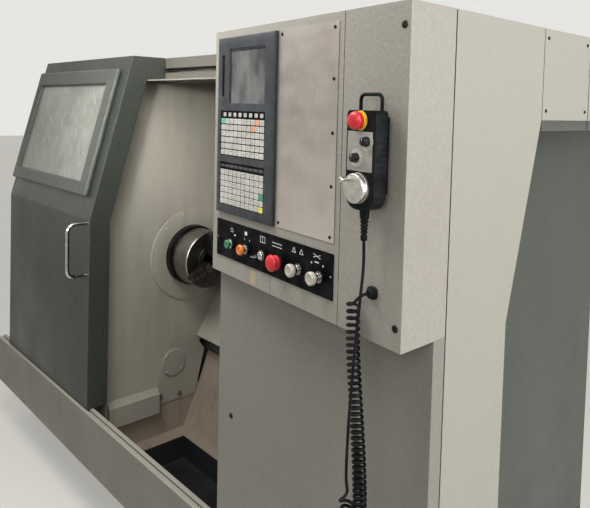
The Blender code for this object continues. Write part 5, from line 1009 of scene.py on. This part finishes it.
def crowded(edges, reach, low, high):
    """Grid lines at each edge and a few steps to both sides of it, and evenly between."""
    steps = np.array([-2.0, -1.0, -0.6, -0.3, 0.0, 0.3, 0.6, 1.0, 2.0]) * reach
    lines = np.concatenate([np.add.outer(edges, steps).ravel(), np.linspace(low, high, 24)])
    return np.unique(np.clip(lines, low, high).round(6))


def relief(area, top, pockets, soft, corner, place_at):
    """A plate over the control face whose height is a function of along and down."""
    left, right, upper_edge, lower_edge = area
    xs = [left, right] + [v for pocket, _ in pockets for v in pocket[:2]]
    ys = [upper_edge, lower_edge] + [v for pocket, _ in pockets for v in pocket[2:]]
    xs, ys = crowded(xs, soft, left, right), crowded(ys, soft, upper_edge, lower_edge)
    x, y = np.meshgrid(xs, ys, indexing="ij")
    height = top - 1.2 * MM * (1 - inside(x, y, area, 2.5 * MM, corner))
    for pocket, depth in pockets:
        height = height - depth * inside(x, y, pocket, soft, 2 * MM)
    front, back = (
        np.stack([x, -y, z], axis=-1).reshape(-1, 3) for z in (height, 0 * height + 0.3 * MM)
    )
    count = x.size
    faces = grid_faces(*x.shape, closed=False)
    # The border runs along the first row, down the last column and back by the other two
    numbers = np.arange(count).reshape(x.shape)
    border = [numbers[0], numbers[1:, -1], numbers[-1, -2::-1], numbers[-2:0:-1, 0]]
    border = np.concatenate(border)
    after = np.roll(border, -1)
    sides = np.stack([border, after, after + count, border + count], axis=-1)
    points = moved(np.vstack([front, back]), place_at)
    return points, faces.tolist() + (faces[:, ::-1] + count).tolist() + sides.tolist()


bezel = relief(BEZEL, BEZEL_TOP, POCKETS, 1.2 * MM, 5 * MM, on_face(0, 0))
piece("bezel", "machine", BEZEL_ABS, bezel, ["cnc_bezel"], 50)
lip = raised(13, 106, 3, [(0, 0), (0, 0.5), (1, 0.8)], on_face(0.0595, 0.1205, 6 * MM))
piece("slot_shutter", "machine", STRIP_ABS, lip)
# Dark strips along the screen's left and top edges are painted shadow of the bezel
SHADOW_STRIP = [(0, 0), (0, 2.7), (0.6, 3.1)]
shadow_left = raised(9, 139, 1, SHADOW_STRIP, on_face(0.0970, 0.121, 6.2 * MM))
shadow_top = raised(168, 8, 1, SHADOW_STRIP, on_face(0.1765, 0.0555, 6.2 * MM))
piece("screen_painted_shadow", "machine", DIAL_ABS, together(shadow_left, shadow_top))

# %% [markdown]
# Each operator on the switch strip is an actuator: a plated stem through a black collar,
# with a cap on its end. They are all turned, so each is a line of radius and height, and
# the corners of that line are eased to the radius that the moulding has. They stay within
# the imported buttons, because those are what the joints move.

# %% Switch caps
STRIP_TOP = 3 * MM
SWITCH_DOWN = 0.555
SWITCH_ALONG = 0.110 + 0.075 * np.arange(6)
SWITCHES = [on_face(along, SWITCH_DOWN, STRIP_TOP) for along in SWITCH_ALONG]

collar = lathed([(10.6, 0), (10.6, 7), (14.3, 7), (14.3, 0)], 0.8, 40)
inner = lathed([(10.6, 6.6), (10.6, 7.2), (11.9, 7.2), (11.9, 6.6)], 0.3, 40)
piece("switch_collars", "machine", BLACK_OXIDE, repeated(collar, SWITCHES))
piece("collar_rings", "machine", CHROME, repeated(inner, SWITCHES))


def operator(node, number, finish, cap, stem_finish, stem):
    """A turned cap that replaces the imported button, and a stem that rides with it."""
    made = lathed(cap, 0.9, 48, SWITCHES[number])
    piece(node + "_cap", node, finish, made, [node])
    made = lathed(stem, 0.4, 32, SWITCHES[number])
    piece(node + "_stem", node, stem_finish, made)


operator(
    "green_button", 0, GREEN_CAP,
    [(0, 18.2), (5.5, 18.2), (7, 19.2), (9.8, 18.9), (11.3, 17), (11.3, 12.6), (10.2, 11.5),
     (0, 11.5)],
    CHROME, [(0, 12), (8.4, 12), (8.4, 8), (10, 7.7), (10, 4.4), (0, 4.4)],
)
operator(
    "orange_button", 1, ORANGE_CAP,
    [(0, 24.6), (6, 24.6), (8, 26.1), (11.2, 25.8), (13.3, 23), (13.3, 18.6), (12, 14.8),
     (0, 14.8)],
    CHROME, [(0, 15.5), (8.6, 15.5), (8.6, 8.5), (10, 8.2), (10, 4.4), (0, 4.4)],
)
for side, number in (("left", 4), ("right", 5)):
    operator(
        "white_button_" + side, number, CLEAR_CAP,
        [(0, 31.6), (7.5, 31.8), (9, 33.1), (12.4, 32.9), (14.7, 30.6), (14.9, 28.3),
         (14, 27.5), (14.7, 26.5), (14.3, 22.4), (12.5, 20.6), (0, 20.6)],
        CHROME, [(0, 21.2), (9.2, 21.2), (9.2, 12), (10, 11.6), (10, 4.4), (0, 4.4)],
    )
operator(
    "emergency_stop", 3, RED_CAP,
    [(0, 36.1), (7, 35.8), (13.5, 34.2), (18.4, 30.8), (19.8, 27.4), (19, 24.4), (15, 22.2),
     (13.2, 20), (14.6, 18.6), (17.2, 17.4), (17.2, 12.4), (14, 11.6), (0, 11.6)],
    BLACK_OXIDE, [(0, 12.2), (10, 12.2), (10, 4.4), (0, 4.4)],
)

# %% [markdown]
# The key switch has a plated lock barrel, and a key stands in it: a flat shank and a round
# bow with a hole for the ring. The bow is a rectangle turned round its own axis.

# %% Key and lock barrel
KEY = SWITCHES[2]
barrel = [(0, 11.6), (3, 11.6), (3.4, 12.3), (8.6, 12.3), (10, 10.6), (10, 4.4), (0, 4.4)]
barrel = lathed(barrel, 0.5, 40, KEY)
bow_place = matrix(KEY[:3, 3] + 25.0 * MM * OUT, ALONG, OUT, -UP)
bow = [(4.2, -1.1), (4.2, 1.1), (10.3, 1.1), (10.3, -1.1), (4.2, -1.1)]
bow = lathed(bow, 0.4, 40, bow_place, 3)


def above(place, x, y, z):
    """A place shifted along its own axes, in millimetres."""
    return place @ matrix(np.array([x, y, z]) * MM, *np.eye(3))


shank = raised(6, 2.2, 0.5, [(0, 0), (0, 8)], above(KEY, 0, 0, 11.6))
key = together(barrel, bow, shank)
piece("key_and_barrel", "key_switch", CHROME, key, ["key_switch"])

# %% [markdown]
# What is printed on the strip is white and simple: a mark over each switch that says what
# kind of thing it does. These are generic shapes, such as a square, two bars and a pair of
# triangles, built as thin raised prints.

# %% Marks on the switch strip
def bar(along, down, wide, high, turn=0.0):
    """A printed bar at a place on the strip, turned in its plane; all but the turn in mm."""
    cos, sin = math.cos(turn), math.sin(turn)
    spin = matrix((0, 0, 0), (cos, sin, 0), (-sin, cos, 0), (0, 0, 1))
    place = on_face(along * MM, down * MM, STRIP_TOP - 0.1 * MM)
    return raised(wide, high, 0.2, [(0, 0), (0, 0.3)], place @ spin)


LEAN = math.radians(60)
marks = [
    (104, 518, 9, 1.3, 0.9), (112, 518, 9, 1.3, -0.9), (108, 524, 12, 1.3), (124, 531, 8, 3.4),
    (178, 517, 11, 9), (172, 532, 1.6, 5), (196, 532, 1.6, 5),
    (256, 511, 22, 1.3), (256, 525, 22, 1.3),
    (246, 518, 1.3, 14), (256, 518, 1.3, 14), (266, 518, 1.3, 14),
    (318, 516, 40, 1.5), (318, 524, 40, 1.5),
    (470, 514, 26, 1.3, 0.3), (470, 514, 26, 1.3, -0.3), (470, 527, 14, 3),
    (452, 531, 4, 4), (492, 531, 4, 4),
]
# Two upright triangles, each of three bars along its sides
for along in (386, 414):
    marks += [(along, 521.59, 13, 1.4)]
    marks += [(along + lean * 3.25, 516, 13, 1.4, -lean * LEAN) for lean in (-1, 1)]
marks = together(*(bar(*mark) for mark in marks))
piece("strip_marks", "machine", PRINT_WHITE, marks)

# %% [markdown]
# The pendant's front has a silver legend film with two rotary switches on it. Each switch
# is a knob with a pointer bar, standing in a pale ring with ticks round it, so a hand can
# set it without looking. The knobs ride on their own joints; the ring stays on the housing.

# %% Legend film, dial rings and ticks
PENDANT_FACE = 46 * MM
film = [(0, -0.4), (0, 0.15), (0.1, 0.2)]
film = raised(69, 74, 1.5, film, on_face(0.6450, 0.2760, PENDANT_FACE))
piece("legend_film", "machine", LEGEND_FILM, film)
DIALS = {"upper_dial": (0.664, 0.257), "lower_dial": (0.636, 0.288)}
places = [on_face(*where, PENDANT_FACE) for where in DIALS.values()]
ring = np.array([(9.0, 0.1), (9.0, 0.32), (17.0, 0.32), (17.0, 0.1)]) * MM
piece("dial_rings", "machine", KEY_PALE, repeated(turned(ring), places))
tick = raised(3.4, 0.9, 0.1, [(0, 0), (0, 0.18)], above(np.eye(4), 14, 0, 0.25))
ticks = []
for angle in np.radians(np.arange(-30, 211, 30)):
    cos, sin = math.cos(angle), math.sin(angle)
    spin = matrix((0, 0, 0), (cos, sin, 0), (-sin, cos, 0), (0, 0, 1))
    ticks += [place @ spin for place in places]
piece("dial_ticks", "machine", PRINT_DARK, repeated(tick, ticks))

# %% [markdown]
# A knob's skirt is fluted for grip: its radius is a circle plus a small wave of the angle,
# and the wave fades towards the top. The same idea makes the knurl of the handwheel.

# %% Fluted knobs
def fluted(profile, depth, waves, sides, place):
    """A turned line whose radius gains depth times a cosine of the angle, by its weight.

    Profile rows are (radius, height, weight).
    """
    radius, height, weight = np.asarray(profile, float).T[:, :, None]
    angle = np.linspace(0, 2 * math.pi, sides, endpoint=False)[None]
    r = radius + weight * depth * (np.cos(waves * angle) - 1) / 2
    points = np.stack([r * np.cos(angle), r * np.sin(angle), height + 0 * angle], axis=-1)
    return moved(points.reshape(-1, 3), place), grid_faces(len(profile), sides)


knob = [(0, 11.9), (7.2, 11.9), (8.2, 11.3), (8.6, 10.2), (9.4, 1.2), (9.4, 0.35), (0, 0.35)]
knob = np.column_stack([np.array(knob) * MM, [0, 0, 0.3, 1, 1, 0.3, 0]])
for node, (along, down) in DIALS.items():
    place = on_face(along, down, PENDANT_FACE)
    grip = [(0, 0), (0, 1), (0.5, 1.3)]
    grip = raised(4.2, 15.4, 1.9, grip, above(place, 0, 0, 11.7))
    made = together(fluted(knob, 0.9 * MM, 12, 96, place), grip)
    piece(node + "_knob", node, DIAL_ABS, made, [node])
    white = raised(0.9, 5, 0.3, [(0, 0), (0, 0.2)], above(place, 0, 4.2, 12.9))
    piece(node + "_line", node, PRINT_WHITE, white)

# %% [markdown]
# The stop button is a smooth red mushroom over a yellow collar. The handwheel is turned
# aluminium with a flat face, a polished side, a straight knurl round its foot and a
# crank spinner near its rim. The spinner spins on its own joint and is plated steel.

# %% Pendant stop, handwheel and spinner
STOP = on_face(0.645, 0.219, PENDANT_FACE)
mushroom = [
    (0, 23.2), (6, 22.9), (11.5, 21.7), (15.4, 18.8), (16.9, 15), (16.9, 9), (16.2, 5.6),
    (15.4, 5.2), (14.6, 5.8), (14.4, 10.8), (8.1, 10.8), (8.1, 4.6), (0, 4.6),
]
mushroom = lathed(mushroom, 1.2, 64, STOP)
piece("stop_cap", "pendant_stop", RED_CAP, mushroom, ["pendant_stop"])
collar = [
    (8.6, 5.4), (8.6, 6.3), (12.6, 6.3), (13.2, 5), (13.2, 0.8), (18.2, 0.8), (18.5, 0.5),
    (18.5, -0.2), (8.6, -0.2),
]
collar = lathed(collar, 0.6, 48, STOP)
piece("stop_collar", "machine", YELLOW_NYLON, collar)

WHEEL = on_face(0.647, 0.344, PENDANT_FACE)
wheel = [
    (0, 17.2, 0), (24.4, 17.2, 0), (26.4, 16.8, 0), (27.6, 15.4, 0), (28, 11.6, 0),
    (28.2, 6.4, 0), (28.9, 5.8, 1), (28.9, 1.6, 1), (28.4, 0.4, 0), (0, 0.4, 0),
]
wheel = eased(np.array(wheel) * (MM, MM, 1), 0.5 * MM, 3)
wheel = fluted(wheel, 0.5 * MM, 100, 400, WHEEL)
CRANK_RADIUS, CRANK_TURN = 20, math.radians(125)
crank = CRANK_RADIUS * math.cos(CRANK_TURN), CRANK_RADIUS * math.sin(CRANK_TURN)
CRANK = above(WHEEL, *crank, 0)
seat = lathed([(0, 18.2), (5.4, 18.2), (5.6, 17.6), (5.6, 15.4)], 0.3, 32, CRANK)
wheel = together(wheel, seat)
piece("wheel", "handwheel", WHEEL_METAL, wheel, ["handwheel"], 28)
spinner = [
    (0, 38.6), (3, 38.6), (4.8, 37.4), (5.4, 35), (5.3, 30), (4.4, 24.6), (3.9, 22),
    (3.9, 18.7), (0, 18.7),
]
spinner = lathed(spinner, 0.8, 32, CRANK)
piece("spinner", "crank_spinner", CHROME, spinner, ["crank_spinner"])

# %% [markdown]
# The chuck is a thick disc with three slots across its face, in which the jaws slide. A
# slot has straight sides, but the disc is round, so the grid is bent to suit: in each third
# of the turn the columns first run straight across the slot, where the angle is the arc
# sine of sideways distance over radius, and then fan out evenly to the next slot. Inside a
# slot the face is simply pushed back to the slot's floor.

# %% Chuck body
CHUCK_BACK, CHUCK_FACE = CHUCK_LOW[0], CHUCK_HIGH[0]
CHUCK_RADIUS = (CHUCK_HIGH[2] - CHUCK_LOW[2]) / 2
CHUCK_BORE = 38 * MM
SLOT_WIDE, SLOT_DEEP = 22 * MM, 12 * MM
JAW_ANGLES = (90, 210, 330)

# A bore with its chamfer, a fine ring turned in the face, and chamfers front and back
chuck_line = [
    (CHUCK_BORE, CHUCK_BACK), (CHUCK_BORE, CHUCK_FACE - 3 * MM),
    (CHUCK_BORE + 3 * MM, CHUCK_FACE), (0.062, CHUCK_FACE), (0.0625, CHUCK_FACE - 1 * MM),
    (0.065, CHUCK_FACE - 1 * MM), (0.0655, CHUCK_FACE), (CHUCK_RADIUS - 4 * MM, CHUCK_FACE),
    (CHUCK_RADIUS, CHUCK_FACE - 4 * MM), (CHUCK_RADIUS, CHUCK_BACK + 3 * MM),
    (CHUCK_RADIUS - 3 * MM, CHUCK_BACK),
]
chuck_line = eased(chuck_line, 0.8 * MM, 3)
chuck_line = np.vstack([chuck_line, chuck_line[:1]])
radius, depth = chuck_line.T[:, :, None]
across = np.array([-1, -1, -0.5, 0, 0.5, 1, 1])[None] * SLOT_WIDE / 2
slot_angle = np.arcsin(across / radius)
edge = slot_angle[:, -1:]
fan = edge + (2 * math.pi / 3 - 2 * edge) * np.linspace(0, 1, 34)[None, 1:-1]
third = np.hstack([slot_angle, fan])
pushed = np.zeros(third.shape[1], bool)
pushed[1:6] = True
angle = np.hstack([third + math.radians(a) for a in JAW_ANGLES])
x = np.where(np.tile(pushed, 3)[None], np.minimum(depth, CHUCK_FACE - SLOT_DEEP), depth)
y = CHUCK_CENTRE[1] + radius * np.cos(angle)
z = CHUCK_CENTRE[2] + radius * np.sin(angle)
chuck_shape = np.stack([x, y, z], axis=-1).reshape(-1, 3), grid_faces(*x.shape)
chuck = piece("chuck", "spindle", CHUCK_STEEL, chuck_shape, ["chuck_body"], 30)
# Faces that look along the spindle, and the slots in them, take a darker copy of the steel
chuck.data.materials.append(FACE_STEEL)
middles = np.empty(3 * len(chuck.data.polygons))
chuck.data.polygons.foreach_get("center", middles)
middles = middles.reshape(-1, 3) - CHUCK_CENTRE
spread = np.hypot(middles[:, 1], middles[:, 2])
darkened = (spread < CHUCK_RADIUS - 4.2 * MM) & (middles[:, 0] > 0)
chuck.data.polygons.foreach_set("material_index", darkened.astype(np.int32))

# A black seal ring fills the gap behind the chuck; a thin bright steel band in its groove is a
# painted highlight along the groove
CHUCK_AXIS = on_east(0, SPINDLE_SETBACK, SPINDLE_HEIGHT)
ring = [
    (0.1313, -0.3648), (0.1365, -0.3648), (0.1365, -0.3510), (0.1335, -0.3500),
    (0.1335, -0.3480), (0.1350, -0.3470), (0.1350, -0.3292), (0.1313, -0.3292),
]
ring = turned(eased(ring, 1 * MM, 3, closed=True), 96, CHUCK_AXIS, joined=True)
piece("seal_ring", "spindle", SHEATH, ring)
groove_highlight = [(0.1330, -0.3498), (0.1359, -0.3496), (0.1359, -0.3483), (0.1330, -0.3482)]
piece("seal_groove_highlight", "spindle", ZINC, turned(groove_highlight, 96, CHUCK_AXIS, joined=True))

# %% [markdown]
# The jaws keep their packed steps, with their edges broken by a fine bevel. Each is held by
# two socket screws sunk in its steps, and six more hold the chuck's face to its body.

# %% Jaws and socket screws
def jaw_screws(name, body, radius, places):
    """Socket screws, sunk a little, on the chuck or on a jaw."""
    line = [(0, -2.6), (0.5, -2.6), (0.55, 0.5), (0.85, 0.5), (1.0, 0.1), (1.0, -0.6)]
    screw = lathed(np.array(line) * (radius, 1), 0.3, 20, steps=3)
    piece(name, body, BLACK_STEEL, repeated(screw, places))


SPINDLE_AT = SPINDLE_SETBACK, SPINDLE_HEIGHT
JAW_FACES = ((75 * MM, 34 * MM), (107 * MM, 22 * MM))
for number, degrees in enumerate(JAW_ANGLES, 1):
    body = f"jaw_{number}"
    softened(body, body, JAW_STEEL, "turned_steel", 0.9 * MM)
    places = [circled(CHUCK_FACE + up, *SPINDLE_AT, r, [degrees])[0] for r, up in JAW_FACES]
    jaw_screws(body + "_screws", body, 7.5, places)
between = [jaw + turn for jaw in JAW_ANGLES for turn in (42, 78)]
places = circled(CHUCK_FACE, *SPINDLE_AT, 0.094, between)
jaw_screws("chuck_screws", "spindle", 7, places)
print("chuck", len(chuck_shape[0]), "points, face at", round(float(CHUCK_FACE), 4))

# %% [markdown]
# Seams show where one sheet ends and the next begins: the edge of the control box's door, a
# joint below the switch strip, the side wall and the lids. They are gaps of a millimetre to
# five, and dark because no light reaches their floor. Quarter-turn locks keep the doors
# shut. A worn patch of primer shows where a plate was once glued and has been pulled off.

# %% Seams, locks and patch
GAP = [(0, -0.3), (0, 0.12)]
shapes = [
    raised(1.6, 643, 0.1, GAP, on_face(0.539, 0.3225)),
    raised(1.2, 46, 0.1, GAP, on_face(0.287, 0.621)),
]
# Behind the control box the side wall begins, and the lids meet each other at their width
SEAM = [(0, -0.3), (0, 0.3)]
(low, high), (lid_low, lid_high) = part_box("right_side_wall"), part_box("overhead_box")
setback = low[1] - MACHINE_FRONT + 1.4 * MM
side_seam = on_east(high[0] - SIDE_SET_IN, setback, (low[2] + high[2]) / 2)
shapes.append(raised(2.6, (high[2] - low[2]) / MM - 4, 0.1, SEAM, side_seam))
for place, width in ((2.6 * MM, 4.6), (LID_WIDTH, 2.6), (2 * LID_WIDTH, 2.6)):
    where = on_east(RIGHT_X, LIDS_START + place, (lid_low[2] + lid_high[2]) / 2)
    shapes.append(raised(width, (lid_high[2] - lid_low[2]) / MM - 4, 0.1, SEAM, where))
piece("sheet_seams", "machine", DIAL_ABS, together(*shapes))

lock = [(0, 1.0), (1.2, 1.0), (1.4, 2.2), (6.2, 2.0), (7.2, 1.2), (7.4, -0.4)]
slot_bar = raised(2.4, 9, 0.6, [(0, 1.4), (0, 2.6), (0.3, 2.8)])
lock = together(lathed(lock, 0.4, 28, steps=3), slot_bar)
lock_place = (0.730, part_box("lower_cabinet")[0][1], 0.858)
places = [on_face(0.705, 0.044), on_face(0.705, 0.601)]
places.append(matrix(lock_place, (1, 0, 0), (0, 0, 1), (0, -1, 0)))
piece("quarter_turn_locks", "machine", BLACK_OXIDE, repeated(lock, places))
patch = raised(27, 32, 4, [(0, -0.3), (0, 0.05), (2, 0.09)], on_face(0.208, 0.622))
piece("primer_patch", "machine", PRIMER, patch)

# %% [markdown]
# Hexagon bolts hold the ledge below the spindle wall. A hexagon is a line turned in only six
# steps, which gives its chamfer six flats as well, and the washer is turned in twenty-four.

# %% Hexagon bolts
hexagon = turned(np.array([(0, 6.2), (8.0, 6.2), (9.6, 5.4), (9.6, 0.8)]) * MM, 6)
washer = lathed([(0, 1.0), (11.2, 1.0), (11.5, -1.0)], 0.3, 24)
places = [on_east(WALL_X, 0.392, 0.378), on_east(WALL_X, 0.491, 0.368)]
piece("ledge_bolts", "machine", ZINC, repeated(together(hexagon, washer), places))

# %% [markdown]
# The studio is plain: a pale floor, an even pale sky, and lamps where a workshop has its
# tubes and windows. The strongest stand on the right, so the right side is the palest, as
# in the photo. The ones in front are weaker, and a narrow one looks under the header at
# the wall by the spindle. Floor and sky look almost white to the camera and in
# reflections, and light the machine more gently than they look.

# %% Floor, lamps and world
floor_mesh = bpy.data.meshes.new("studio_floor")
floor_mesh.from_pydata([(-30, -30, 0), (30, -30, 0), (30, 30, 0), (-30, 30, 0)], [], [(0, 1, 2, 3)])
floor = bpy.data.objects.new("studio_floor", floor_mesh)
bpy.context.scene.collection.objects.link(floor)
layer = (PLAIN, 0.8, 4, 0, 1, 1, linear("#bebcb6"))
FLOOR, tree, shader, place = blended(
    "pale_studio_floor", linear("#b2b0aa"), layer, Roughness=0.75
)
path = tree.nodes.new("ShaderNodeLightPath").outputs
seen = add(tree, "Math", {0: path["Is Camera Ray"], 1: path["Is Glossy Ray"]}, operation="MAXIMUM")
shader["Emission Color"].default_value = linear("#dddbd5")
tree.links.new(add(tree, "MapRange", {0: seen, 4: 0.45}), shader["Emission Strength"])
floor_mesh.materials.append(FLOOR)


def lamp(name, place, aim, size, power, spread=180):
    """A square area lamp that looks from its place at its aim, within a cone."""
    light = bpy.data.lights.new(name, "AREA")
    light.shape = "RECTANGLE"
    light.size, light.size_y = size
    light.energy = power
    light.spread = math.radians(spread)
    made = bpy.data.objects.new(name, light)
    bpy.context.scene.collection.objects.link(made)
    made.location = place
    made.rotation_mode = "QUATERNION"
    made.rotation_quaternion = (Vector(aim) - Vector(place)).to_track_quat("-Z", "Y")


lamp("right_tubes", (3.8, -1.2, 3.4), (0.9, -0.2, 1.2), (1.4, 2.2), 72)
lamp("right_window", (4.0, 0.4, 1.8), (0.9, 0.4, 1.1), (1.6, 1.6), 62)
lamp("front_tubes", (0.6, -1.3, 2.7), (-0.3, -0.1, 1.1), (1.0, 0.6), 19)
lamp("door_tubes", (0.1, -1.0, 2.6), (-0.2, -0.2, 0.9), (0.8, 0.5), 12)
lamp("camera_side_panel", (2.2, -2.7, 2.4), (-0.2, 0.0, 1.0), (1.2, 1.0), 15)
lamp("chamber_tubes", (1.15, -2.5, 2.05), (-0.36, -0.15, 1.56), (0.5, 0.4), 1.7, 24)

world = bpy.data.worlds.new("studio")
world.use_nodes = True
bpy.context.scene.world = world
tree = world.node_tree
ground = tree.nodes["Background"].inputs
rays = tree.nodes.new("ShaderNodeLightPath").outputs
seen = add(tree, "Math", {0: rays["Is Camera Ray"], 1: rays["Is Glossy Ray"]}, operation="MAXIMUM")
seen = add(tree, "Math", {0: seen, 1: rays["Is Transmission Ray"]}, operation="MAXIMUM")
tree.links.new(add(tree, "MapRange", {0: seen, 3: 0.3, 4: 0.88}), ground["Strength"])
ground["Color"].default_value = linear("#f4f3f0")
